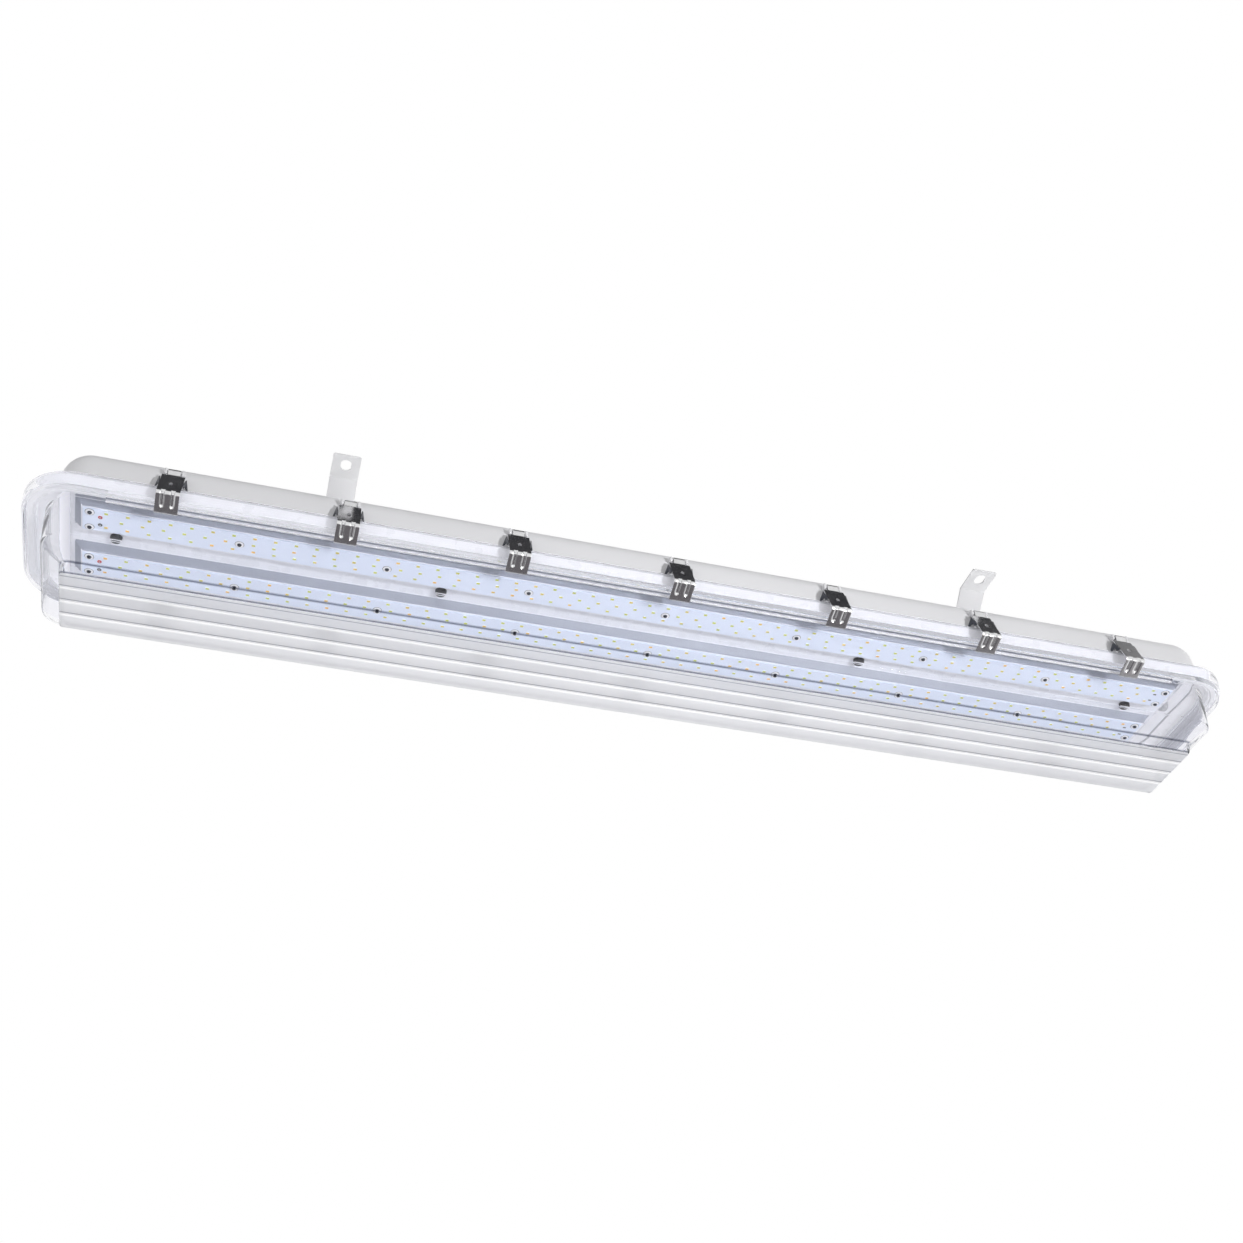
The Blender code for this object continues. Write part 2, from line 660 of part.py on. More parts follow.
def tray_cuts():
    """Holes for the retainers and board leads, and the channels cut short at both ends."""
    bm = bmesh.new()
    hole = RETAINER_STEM / 2 + GAP
    for x in retainer_places():
        low = TRAY_Z - OVERRUN
        add_cylinder(bm, hole, low, TRAY_TOP + OVERRUN, (x, 0.0, 0.0), steps=SMALL_ROUND_STEPS)
    for side in (-1, 1):
        for end in (-1, 1):
            y = side * TRAY_CHANNEL_OFFSET + end * PAD_SPACING / 2
            low = BOARD_SEAT - OVERRUN
            high = BOARD_SEAT + TRAY_SHEET + OVERRUN
            add_cylinder(bm, LEAD_HOLE / 2, low, high, (-PAD_PLACE, y, 0.0), steps=SMALL_ROUND_STEPS)
            near = TRAY_LENGTH / 2 - CHANNEL_END_SETBACK
            far = TRAY_LENGTH / 2 + OVERRUN
            low_x, high_x = sorted((end * near, end * far))
            y = side * TRAY_CHANNEL_OFFSET
            reach = TRAY_CHANNEL_WIDTH / 2 - TRAY_SHEET - BITE
            add_box(bm, (low_x, y - reach, BOARD_SEAT - OVERRUN), (high_x, y + reach, high))
    return finish_mesh(bm, "tray_cuts")


def build_tray():
    bm = bmesh.new()
    add_prism(bm, tray_section(), -TRAY_LENGTH / 2, TRAY_LENGTH / 2)
    tray = add_object("gear_tray", finish_mesh(bm, "gear_tray"), "tray")
    boolean(tray, add_object("tray_cuts", tray_cuts()), "DIFFERENCE")


def led_places():
    """The centre of every LED package on a board, as (x, y) from the board's centre."""
    middle = (LED_OUTER_COUNT - 1) / 2
    outer = [(index - middle) * LED_PITCH for index in range(LED_OUTER_COUNT)]
    places = [(x, row) for row in (-LED_ROW_PITCH, LED_ROW_PITCH) for x in outer]
    for span in range(BOARD_SCREW_SPANS):
        centre = (span - (BOARD_SCREW_SPANS - 1) / 2) * BOARD_SCREW_PITCH
        for index in range(LED_INNER_COUNT):
            x = centre + (index - (LED_INNER_COUNT - 1) / 2) * LED_INNER_PITCH
            if abs(x) < PAD_PLACE - LED_LENGTH:
                places.append((x, 0.0))
    return places


def led_packages():
    bm = bmesh.new()
    for x, y in led_places():
        low = (x - LED_LENGTH / 2, y - LED_ROW_SHIFT - LED_WIDTH / 2, BOARD_FACE - LED_HEIGHT)
        high = (x + LED_LENGTH / 2, y - LED_ROW_SHIFT + LED_WIDTH / 2, BOARD_FACE + BOARD_THICKNESS / 2)
        add_box(bm, low, high)
    return finish_mesh(bm, "led_packages")


def board_screws():
    """Screw heads along the middle, one pair at each end, and the two solder pads."""
    bm = bmesh.new()
    root = BOARD_FACE + BOARD_THICKNESS / 2
    half = BOARD_SCREW_SPANS // 2
    radius = BOARD_SCREW_HEAD / 2
    for index in range(1 - half, half):
        x = index * BOARD_SCREW_PITCH
        add_cylinder(bm, radius, BOARD_FACE - BOARD_SCREW_HEIGHT, root, (x, 0.0, 0.0), steps=SMALL_ROUND_STEPS)
    for end in (-1, 1):
        for side in (-1, 1):
            place = (end * BOARD_END_SCREW, side * BOARD_END_SCREW_SPACING / 2, 0.0)
            add_cylinder(bm, radius, BOARD_FACE - BOARD_SCREW_HEIGHT, root, place, steps=SMALL_ROUND_STEPS)
    for side in (-1, 1):
        place = (-PAD_PLACE, side * PAD_SPACING / 2, 0.0)
        add_cylinder(bm, PAD_DIAMETER / 2, BOARD_FACE - PAD_HEIGHT, root, place, steps=SMALL_ROUND_STEPS)
    return finish_mesh(bm, "board_screws")


def build_boards():
    for name, side in (("led_board_near", -1), ("led_board_far", 1)):
        bm = bmesh.new()
        low = (-BOARD_LENGTH / 2, -BOARD_WIDTH / 2, BOARD_FACE)
        add_box(bm, low, (BOARD_LENGTH / 2, BOARD_WIDTH / 2, BOARD_TOP))
        place = (0.0, side * TRAY_CHANNEL_OFFSET, 0.0)
        board = add_object(name, finish_mesh(bm, name), "board", location=place)
        for part, mesh in (("leds", led_packages()), ("screws", board_screws())):
            cutter = add_object(name + "_" + part, mesh, location=place)
            boolean(board, cutter, "UNION")


def retainer_mesh():
    """A round head with a grip bar below the tray and a stem up into the boss."""
    bm = bmesh.new()
    add_cylinder(bm, RETAINER_HEAD / 2, -GAP - RETAINER_HEAD_HEIGHT, -GAP, (0.0, 0.0, 0.0))
    return finish_mesh(bm, "retainer")


def retainer_stem():
    bm = bmesh.new()
    add_cylinder(
        bm, RETAINER_STEM / 2, -GAP - BITE, RETAINER_STEM_LENGTH, (0.0, 0.0, 0.0), steps=SMALL_ROUND_STEPS
    )
    return finish_mesh(bm, "retainer_stem")


def retainer_grip():
    bm = bmesh.new()
    reach = RETAINER_HEAD / 2 - BITE
    low = -GAP - RETAINER_HEAD_HEIGHT - RETAINER_GRIP_HEIGHT
    add_box(bm, (-reach, -RETAINER_GRIP_WIDTH / 2, low), (reach, RETAINER_GRIP_WIDTH / 2, low + RETAINER_GRIP_HEIGHT + BITE))
    return finish_mesh(bm, "retainer_grip")


def evaluated_mesh(item, name):
    """The mesh of an object with its modifiers applied."""
    bpy.context.view_layer.update()
    graph = bpy.context.evaluated_depsgraph_get()
    mesh = bpy.data.meshes.new_from_object(item.evaluated_get(graph))
    mesh.name = name
    return mesh


def build_retainers():
    base = add_object("retainer_base", retainer_mesh(), "dark")
    parts = [add_object("stem_part", retainer_stem()), add_object("grip_part", retainer_grip())]
    for part in parts:
        boolean(base, part, "UNION")
    mesh = evaluated_mesh(base, "retainer")
    for part in [base] + parts:
        bpy.data.objects.remove(part, do_unlink=True)
    for index, x in enumerate(retainer_places()):
        add_object("retainer_%d" % (index + 1), mesh, "dark", location=(x, 0.0, TRAY_Z))


def build_driver():
    """The LED driver and the supply terminals, both on the back of the tray."""
    base = TRAY_TOP + GAP
    bm = bmesh.new()
    low = (DRIVER_PLACE - DRIVER_LENGTH / 2, -DRIVER_WIDTH / 2, base)
    add_box(bm, low, (DRIVER_PLACE + DRIVER_LENGTH / 2, DRIVER_WIDTH / 2, base + DRIVER_HEIGHT))
    edges = [edge for edge in bm.edges if abs(edge.verts[0].co.x - edge.verts[1].co.x) > DRIVER_EDGE]
    bmesh.ops.bevel(bm, geom=edges, offset=DRIVER_EDGE, segments=2, affect="EDGES", profile=0.5)
    add_object("led_driver", finish_mesh(bm, "led_driver"), "driver")
    bm = bmesh.new()
    low = (TERMINAL_PLACE - TERMINAL_LENGTH / 2, -TERMINAL_WIDTH / 2, base)
    add_box(bm, low, (TERMINAL_PLACE + TERMINAL_LENGTH / 2, TERMINAL_WIDTH / 2, base + TERMINAL_HEIGHT))
    block = add_object("terminal_block", finish_mesh(bm, "terminal_block"), "terminal")
    bm = bmesh.new()
    pitch = TERMINAL_LENGTH / TERMINAL_POLES
    top = base + TERMINAL_HEIGHT
    for pole in range(TERMINAL_POLES):
        x = TERMINAL_PLACE + (pole - (TERMINAL_POLES - 1) / 2) * pitch
        for y in (-TERMINAL_WIDTH / 4, TERMINAL_WIDTH / 4):
            place = (x, y, top)
            add_cylinder(bm, TERMINAL_SCREW / 2, -TERMINAL_RECESS, OVERRUN, place, steps=SMALL_ROUND_STEPS)
    boolean(block, add_object("terminal_recesses", finish_mesh(bm, "terminal_recesses")), "DIFFERENCE")


def rounded_route(points):
    """The route with each of its corners rounded by three points."""
    route = [Vector(point) for point in points]
    rounded = [route[0]]
    for before, corner, after in zip(route, route[1:], route[2:]):
        back = before - corner
        on = after - corner
        reach = min(LEAD_BEND, back.length / 2, on.length / 2)
        start = corner + back.normalized() * reach
        end = corner + on.normalized() * reach
        rounded += [start, (start + 2 * corner + end) / 4, end]
    rounded.append(route[-1])
    return rounded


def add_lead(name, key, points):
    """An insulated wire along a route, with flat ends."""
    curve = bpy.data.curves.new(name, "CURVE")
    curve.dimensions = "3D"
    curve.bevel_depth = LEAD_DIAMETER / 2
    curve.bevel_resolution = 1
    curve.use_fill_caps = True
    route = rounded_route(points)
    spline = curve.splines.new("POLY")
    spline.points.add(len(route) - 1)
    for point, place in zip(spline.points, route):
        point.co = (*place, 1.0)
    item = bpy.data.objects.new(name, curve)
    bpy.context.scene.collection.objects.link(item)
    curve.materials.append(make_material(key))


def build_leads():
    """Board leads along the channels to the solder pads, and the supply leads to the driver."""
    rest = LEAD_DIAMETER / 2 + GAP
    over = TRAY_TOP + rest
    driver_end = DRIVER_PLACE - DRIVER_LENGTH / 2 - GAP
    in_channel = BOARD_SEAT + TRAY_SHEET + rest
    for name, side in (("near", -1), ("far", 1)):
        for key, order in (("red", -1), ("black", 1)):
            y = side * TRAY_CHANNEL_OFFSET + order * PAD_SPACING / 2
            start = side * LEAD_SPACING + order * LEAD_SPACING / 3
            points = [
                (driver_end, start, over + LEAD_DIAMETER),
                (driver_end - LEAD_SLACK, start, over + LEAD_DIAMETER),
                (driver_end - 2 * LEAD_SLACK, y, over + LEAD_DIAMETER),
                (driver_end - 3 * LEAD_SLACK, y, in_channel),
                (-PAD_PLACE, y, in_channel),
                (-PAD_PLACE, y, BOARD_TOP + GAP),
            ]
            add_lead("lead_%s_%s" % (name, key), key, points)
    start = DRIVER_PLACE + DRIVER_LENGTH / 2 + GAP
    end = TERMINAL_PLACE - TERMINAL_LENGTH / 2 - GAP
    height = over + LEAD_DIAMETER
    for key, order in (("red", -1), ("black", 1)):
        y = order * LEAD_SPACING / 2
        wide = order * (BOSS_DIAMETER / 2 + LEAD_SPACING)
        points = [(start, y, height), (start + LEAD_SLACK, y, height)]
        points += [(x, wide, height) for x in (RETAINER_PLACES[0] - LEAD_SLACK / 2, RETAINER_PLACES[0] + LEAD_SLACK / 2)]
        points += [(end - LEAD_SLACK, y, height), (end, y, height)]
        add_lead("supply_lead_" + key, key, points)


def hexagon(bm, across, low, high, place):
    """A six-sided nut along X, of a width across its flats."""
    add_cylinder(bm, across / 2 / math.cos(math.pi / 6), low, high, place, "X", 6)


def build_gland():
    """The cable gland in the end wall: threaded body and compression nut, bored through."""
    place = (0.0, 0.0, JOINT_Z + GLAND_RISE)
    wall = BODY_LENGTH / 2
    bm = bmesh.new()
    hexagon(bm, GLAND_FLANGE, wall + GAP, wall + GAP + GLAND_FLANGE_LENGTH, place)
    body = add_object("gland_body", finish_mesh(bm, "gland_body"), "gland")
    bm = bmesh.new()
    add_cylinder(bm, GLAND_THREAD / 2, wall - GLAND_THREAD_LENGTH, wall + GAP + BITE, place, "X")
    boolean(body, add_object("gland_thread", finish_mesh(bm, "gland_thread")), "UNION")
    start = wall + GAP + GLAND_FLANGE_LENGTH + GAP
    bm = bmesh.new()
    hexagon(bm, GLAND_NUT, start, start + GLAND_NUT_LENGTH, place)
    nut = add_object("gland_nut", finish_mesh(bm, "gland_nut"), "gland")
    for item, name in ((body, "gland_body_bore"), (nut, "gland_nut_bore")):
        bm = bmesh.new()
        reach = start + GLAND_NUT_LENGTH + OVERRUN
        add_cylinder(bm, GLAND_BORE / 2, wall - GLAND_THREAD_LENGTH - OVERRUN, reach, place, "X")
        boolean(item, add_object(name, finish_mesh(bm, name)), "DIFFERENCE")


def strap_section():
    """The strap's side view as (y, z): foot on the back, two risers and two ears."""
    foot = STRAP_FOOT / 2
    knee = foot + STRAP_REACH
    tip = knee + STRAP_EAR
    low = GAP
    thick = STRAP_THICKNESS
    lean = thick * STRAP_RISE / math.hypot(STRAP_RISE, STRAP_REACH) * (STRAP_REACH / STRAP_RISE)
    half_under = [(foot, low), (knee, low + STRAP_RISE), (tip, low + STRAP_RISE)]
    half_over = [(tip, low + STRAP_RISE + thick), (knee - lean, low + STRAP_RISE + thick), (foot - lean, low + thick)]
    left = [(-y, z) for y, z in reversed(half_over)] + [(-y, z) for y, z in reversed(half_under)]
    return half_under + half_over + left


def strap_cuts():
    """A slot in each ear and the two screw holes in the foot."""
    bm = bmesh.new()
    slot_y = STRAP_FOOT / 2 + STRAP_REACH + STRAP_SLOT_PLACE
    low = GAP + STRAP_RISE - OVERRUN
    high = GAP + STRAP_RISE + STRAP_THICKNESS + OVERRUN
    radius = STRAP_SLOT_WIDTH / 2
    straight = STRAP_SLOT_LENGTH / 2 - radius
    for side in (-1, 1):
        outline = []
        for step in range(2 * SMALL_ROUND_STEPS):
            angle = 2 * math.pi * (step + 0.5) / (2 * SMALL_ROUND_STEPS)
            shift = straight if math.sin(angle) > 0 else -straight
            outline.append((radius * math.cos(angle), side * slot_y + shift + radius * math.sin(angle)))
        add_prism(bm, outline, low, high, "Z")
        place = (0.0, side * STRAP_SCREW_PLACE, 0.0)
        bore = STRAP_SCREW_SHANK / 2 + GAP
        add_cylinder(bm, bore, GAP - OVERRUN, GAP + STRAP_THICKNESS + OVERRUN, place, steps=SMALL_ROUND_STEPS)
    return finish_mesh(bm, "strap_cuts")


def strap_mesh():
    bm = bmesh.new()
    add_prism(bm, strap_section(), -STRAP_WIDTH / 2, STRAP_WIDTH / 2)
    tip = STRAP_FOOT / 2 + STRAP_REACH + STRAP_EAR
    corners = [
        edge
        for edge in bm.edges
        if all(abs(abs(vert.co.y) - tip) < GAP for vert in edge.verts)
        and abs(edge.verts[0].co.x - edge.verts[1].co.x) < GAP
    ]
    bmesh.ops.bevel(bm, geom=corners, offset=STRAP_EAR_CORNER, segments=2, affect="EDGES", profile=0.5)
    return finish_mesh(bm, "strap")


def screw_mesh():
    """A low pan head above the strap and a shank into the canopy's boss."""
    bm = bmesh.new()
    base = GAP + STRAP_THICKNESS + GAP
    add_cylinder(bm, STRAP_SCREW_HEAD / 2, base, base + STRAP_SCREW_HEIGHT, (0.0, 0.0, 0.0))
    top = [edge for edge in bm.edges if all(vert.co.z > base + GAP for vert in edge.verts)]
    bmesh.ops.bevel(bm, geom=top, offset=STRAP_SCREW_HEIGHT / 3, segments=1, affect="EDGES", profile=0.5)
    return finish_mesh(bm, "strap_screw")


def screw_shank():
    bm = bmesh.new()
    top = GAP + STRAP_THICKNESS + GAP + BITE
    add_cylinder(
        bm, STRAP_SCREW_SHANK / 2, -STRAP_SCREW_LENGTH, top, (0.0, 0.0, 0.0), steps=SMALL_ROUND_STEPS
    )
    return finish_mesh(bm, "screw_shank")


def build_straps():
    base = add_object("screw_base", screw_mesh(), "steel")
    shank = add_object("shank_part", screw_shank())
    boolean(base, shank, "UNION")
    mesh = evaluated_mesh(base, "strap_screw")
    for part in (base, shank):
        bpy.data.objects.remove(part, do_unlink=True)
    for name, x in (("left", -STRAP_PLACE), ("right", STRAP_PLACE)):
        strap = add_object("strap_" + name, strap_mesh(), "zinc", location=(x, 0.0, 0.0))
        cuts = add_object("strap_cuts_" + name, strap_cuts(), location=(x, 0.0, 0.0))
        boolean(strap, cuts, "DIFFERENCE")
        for side, y in (("near", -STRAP_SCREW_PLACE), ("far", STRAP_SCREW_PLACE)):
            add_object("strap_screw_%s_%s" % (name, side), mesh, "steel", location=(x, y, 0.0))


def latch_path():
    """The latch sheet's centre line from its hinge axis, as (outward, up) points.

    The first points wrap the bar, the next run down the tongue and the sloped plate, round the bend
    and in under the lens flange to the lip that pulls on the rail.
    """
    curl = []
    for step in range(CURL_STEPS + 1):
        angle = math.radians(290.0) * (1 - step / CURL_STEPS)
        curl.append((KNUCKLE_RADIUS * math.cos(angle), KNUCKLE_RADIUS * math.sin(angle)))
    tongue_end = (KNUCKLE_RADIUS, -LATCH_TONGUE_LENGTH)
    bend = (
        FLANGE_WIDTH / 2 + LATCH_BEND_OVERHANG - HINGE_Y,
        JOINT_Z - LATCH_BEND_DROP - HINGE_Z,
    )
    rest = RAIL_BOTTOM - GAP - LATCH_SHEET / 2 - HINGE_Z
    knee = (FLANGE_WIDTH / 2 + LATCH_KNEE_INSET - HINGE_Y, JOINT_Z - LATCH_KNEE_DROP - HINGE_Z)
    knee = (knee[0], min(knee[1], rest + LATCH_SHEET / 2))
    rail_edge = RAIL_INNER / 2 + RAIL_WIDTH + GAP
    seat = (rail_edge - HINGE_Y, rest)
    lip = (RAIL_INNER / 2 - HINGE_Y, rest)
    return curl, tongue_end, bend, knee, seat, lip


def fillet(before, corner, after, radius):
    """Three points that round one corner of a path."""
    corner = Vector(corner)
    to_before = (Vector(before) - corner).normalized()
    to_after = (Vector(after) - corner).normalized()
    half = to_before.angle(to_after) / 2
    reach = radius / math.tan(half)
    middle = (to_before + to_after).normalized()
    centre = corner + middle * radius / math.sin(half)
    return [tuple(corner + to_before * reach), tuple(centre - middle * radius), tuple(corner + to_after * reach)]


def latch_rows():
    """The sheet's rows below the tongue, each as (point, share of the rib depth)."""
    _, tongue_end, bend, knee, seat, lip = latch_path()
    top = Vector(tongue_end)
    down = (Vector(bend) - top).normalized()
    round_bend = fillet(tongue_end, bend, knee, LATCH_BEND_RADIUS)
    inward = Vector(seat) - Vector(knee)
    return [
        (tuple(top), 0.0),
        (tuple(top + down * (RIB_START - RIB_FLANK)), 0.0),
        (tuple(top + down * RIB_START), 1.0),
        (round_bend[0], 1.0),
        (round_bend[1], 1.0),
        (round_bend[2], 1.0),
        (knee, 1.0),
        (tuple(Vector(knee) + inward / 2), 0.0),
        (lip, 0.0),
    ]


def sheet_normals(points):
    """The unit normal of a path at each of its points, to the left of its run."""
    normals = []
    for index, _ in enumerate(points):
        before = Vector(points[max(index - 1, 0)])
        after = Vector(points[min(index + 1, len(points) - 1)])
        run = (after - before).normalized()
        normals.append(Vector((-run.y, run.x)))
    return normals


def latch_sheet():
    """The bent sheet: a narrow curled tongue that widens into the ribbed plate, leg and lip."""
    curl, _, _, _, _, _ = latch_path()
    rows = latch_rows()
    points = [tuple(point) for point in curl] + [point for point, _ in rows]
    normals = sheet_normals(points)
    half = LATCH_WIDTH / 2
    tongue = LATCH_TONGUE_WIDTH / 2
    inner = RIB_OFFSET - RIB_FLOOR / 2
    outer = RIB_OFFSET + RIB_FLOOR / 2
    right = [(inner - RIB_FLANK, 0.0), (inner, 1.0), (outer, 1.0), (tongue, 0.0), (half, 0.0)]
    across = [(-x, share) for x, share in reversed(right)] + right
    bm = bmesh.new()

    def place(x, point, normal, offset):
        spot = Vector(point) + normal * offset
        return bm.verts.new((x, -spot.x, spot.y))

    narrow = []
    for index in range(len(curl)):
        pair = []
        for side in (1, -1):
            offset = side * LATCH_SHEET / 2
            pair.append([place(x, points[index], normals[index], offset) for x in (-tongue, tongue)])
        narrow.append(pair)
    wide = []
    for row, (point, depth) in enumerate(rows):
        normal = normals[len(curl) + row]
        pair = []
        for side in (1, -1):
            offsets = [side * LATCH_SHEET / 2 - share * depth * RIB_DEPTH for _, share in across]
            pair.append([place(x, point, normal, offset) for (x, _), offset in zip(across, offsets)])
        wide.append(pair)
    for first, second in zip(narrow, narrow[1:]):
        for side in (0, 1):
            bm.faces.new((first[side][0], first[side][1], second[side][1], second[side][0]))
        for end in (0, 1):
            bm.faces.new((first[0][end], first[1][end], second[1][end], second[0][end]))
    bm.faces.new((narrow[0][0][0], narrow[0][0][1], narrow[0][1][1], narrow[0][1][0]))
    last, top = narrow[-1], wide[0]
    for side in (0, 1):
        bm.faces.new([last[side][1], last[side][0]] + top[side][1:-1])
    for end, column in ((0, 1), (1, -2)):
        bm.faces.new((last[0][end], last[1][end], top[1][column], top[0][column]))
    for first, second in ((0, 1), (-2, -1)):
        bm.faces.new((top[0][first], top[0][second], top[1][second], top[1][first]))
    for upper, lower in zip(wide, wide[1:]):
        for side in (0, 1):
            for column in range(len(across) - 1):
                bm.faces.new(
                    (upper[side][column], upper[side][column + 1], lower[side][column + 1], lower[side][column])
                )
        for column in (0, -1):
            bm.faces.new((upper[0][column], upper[1][column], lower[1][column], lower[0][column]))
    end = wide[-1]
    for column in range(len(across) - 1):
        bm.faces.new((end[0][column], end[0][column + 1], end[1][column + 1], end[1][column]))
    return finish_mesh(bm, "latch")


def latch_cheeks():
    """The triangular cheek folded back from each side of the plate, with a notch in its foot."""
    _, tongue_end, bend, _, _, _ = latch_path()
    top = Vector(tongue_end)
    down = (Vector(bend) - top).normalized()
    high = top + down * (CHEEK_TOP - LATCH_TONGUE_LENGTH / 2)
    low = high + down * CHEEK_HEIGHT
    foot = Vector((-KNUCKLE_RADIUS + LATCH_SHEET, -CHEEK_FOOT_DROP))
    base = low - foot
    along = base.normalized()
    rise = Vector((-along.y, along.x))
    middle = foot + base / 2
    notch = []
    for step in range(5):
        angle = math.pi * step / 4
        notch.append(middle - along * CHEEK_NOTCH / 2 * math.cos(angle) + rise * CHEEK_NOTCH / 2 * math.sin(angle))
    outline = [high, foot] + notch + [low]
    root = high.x + (low.x - high.x) / 2
    bm = bmesh.new()
    for side in (-1, 1):
        skins = []
        for inner in (0.0, LATCH_SHEET):
            skin = []
            for point in outline:
                depth = max(0.0, (root - point.x) / (root - foot.x))
                x = LATCH_WIDTH / 2 - LATCH_SHEET + inner + CHEEK_SPREAD * depth
                skin.append(bm.verts.new((side * x, -point.x, point.y)))
            skins.append(skin)
        bm.faces.new(skins[0])
        bm.faces.new(list(reversed(skins[1])))
        for index in range(len(outline)):
            after = (index + 1) % len(outline)
            bm.faces.new((skins[0][index], skins[0][after], skins[1][after], skins[1][index]))
    return finish_mesh(bm, "latch_cheeks")


def latch_hole():
    """A small round hole through the plate, square to it."""
    _, tongue_end, bend, _, _, _ = latch_path()
    top = Vector(tongue_end)
    down = (Vector(bend) - top).normalized()
    centre = top + down * LATCH_HOLE_PLACE
    turn = Matrix.Rotation(math.pi / 2 - math.atan2(-down.x, -down.y), 4, "X")
    bm = bmesh.new()
    add_cylinder(bm, LATCH_HOLE / 2, -2 * LATCH_SHEET, 2 * LATCH_SHEET, (0.0, 0.0, 0.0), steps=SMALL_ROUND_STEPS)
    bm.transform(Matrix.Translation((0.0, -centre.x, centre.y)) @ turn)
    return finish_mesh(bm, "latch_hole")


def build_latches():
    base = add_object("latch_base", latch_sheet(), "steel")
    cheeks = add_object("cheek_part", latch_cheeks())
    hole = add_object("hole_part", latch_hole())
    boolean(base, cheeks, "UNION")
    boolean(base, hole, "DIFFERENCE")
    mesh = evaluated_mesh(base, "latch")
    for part in (base, cheeks, hole):
        bpy.data.objects.remove(part, do_unlink=True)
    for side, y, turn in (("near", -HINGE_Y, 0.0), ("far", HINGE_Y, math.pi)):
        for index, x in enumerate(latch_places()):
            name = "latch_%s_%d" % (side, index + 1)
            add_object(name, mesh, "steel", location=(x, y, HINGE_Z), turn=turn)


def main():
    clear_scene()
    build_housing()
    build_gasket()
    build_lens()
    build_tray()
    build_boards()
    build_retainers()
    build_driver()
    build_leads()
    build_gland()
    build_straps()
    build_latches()


main()
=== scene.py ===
"""A vapor tight light fixture in a plain pale studio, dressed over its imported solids.

The moulded canopy, gasket and clear lens are lofted through rounded rings, the latches, straps and
gear tray are folded from sheet, and each finish is a procedural material.
"""

import json
import math

import bmesh
import bpy
from bmesh.types import BMEdge, BMFace, BMVert
from bpy.props import FloatProperty, FloatVectorProperty, IntProperty, PointerProperty
from bpy.types import NodeSocket, Operator, Panel, PropertyGroup, Scene
from mathutils import Matrix, Vector


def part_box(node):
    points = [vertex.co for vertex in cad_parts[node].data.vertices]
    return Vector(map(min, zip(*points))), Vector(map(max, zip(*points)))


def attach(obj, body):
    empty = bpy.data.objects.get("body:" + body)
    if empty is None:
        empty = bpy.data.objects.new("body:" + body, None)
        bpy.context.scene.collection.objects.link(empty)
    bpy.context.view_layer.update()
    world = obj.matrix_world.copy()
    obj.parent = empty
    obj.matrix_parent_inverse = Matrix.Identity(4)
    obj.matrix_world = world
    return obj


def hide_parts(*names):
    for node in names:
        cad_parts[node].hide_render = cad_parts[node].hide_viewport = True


bl_info = {
    "name": "Vapor Tight Light Fixture",
    "version": (1, 0, 0),
    "blender": (4, 5, 0),
    "location": "View3D > Sidebar > Fixture",
    "description": "Builds the finished pieces of a long enclosed LED fixture round its solids",
    "category": "Add Mesh",
}

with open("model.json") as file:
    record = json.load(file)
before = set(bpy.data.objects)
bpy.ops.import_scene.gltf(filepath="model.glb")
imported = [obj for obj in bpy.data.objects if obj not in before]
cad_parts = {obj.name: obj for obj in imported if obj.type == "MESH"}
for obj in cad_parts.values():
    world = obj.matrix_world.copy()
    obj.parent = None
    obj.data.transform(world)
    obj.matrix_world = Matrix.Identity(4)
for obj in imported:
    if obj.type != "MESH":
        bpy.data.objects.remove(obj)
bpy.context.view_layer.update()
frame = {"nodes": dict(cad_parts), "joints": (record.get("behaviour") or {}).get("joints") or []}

MM = 0.001
WELD = 0.001 * MM
NEAR = 0.01 * MM
LEAST_RADIUS = 0.4 * MM
JOINT = -46 * MM
STACK_GAP = 100 * MM
SIDES = (-1, 1)


def mm(*values):
    """Millimetres as metres."""
    return tuple(value * MM for value in values)


def length_property(name, description, default):
    return FloatProperty(name=name, description=description, default=default, unit="LENGTH")


def colour_property(name, description, default):
    return FloatVectorProperty(
        name=name, description=description, subtype="COLOR", default=default, min=0, max=1
    )


class FixtureSizes(PropertyGroup):
    """Sizes of the finished pieces."""

    corner_steps: IntProperty(
        name="Corner Steps", description="Faces round each moulded corner", default=12, min=4, max=32
    )
    lens_wall: length_property("Lens Wall", "Thickness of the clear wall", 2.5 * MM)
    groove_depth: length_property("Groove Depth", "Depth of the lines in the lens bottom", 0.5 * MM)
    groove_width: length_property("Groove Width", "Width of the lines in the lens bottom", 3.6 * MM)
    latch_sheet: length_property("Latch Sheet", "Thickness of the stainless latch sheet", 1.0 * MM)
    press_depth: length_property("Press Depth", "Depth of the two grooves pressed in a latch", 1.8 * MM)
    tray_sheet: length_property("Tray Sheet", "Thickness of the gear tray's sheet", 1.0 * MM)
    tray_bend: length_property("Tray Bend", "Radius of the tray's bends", 1.4 * MM)


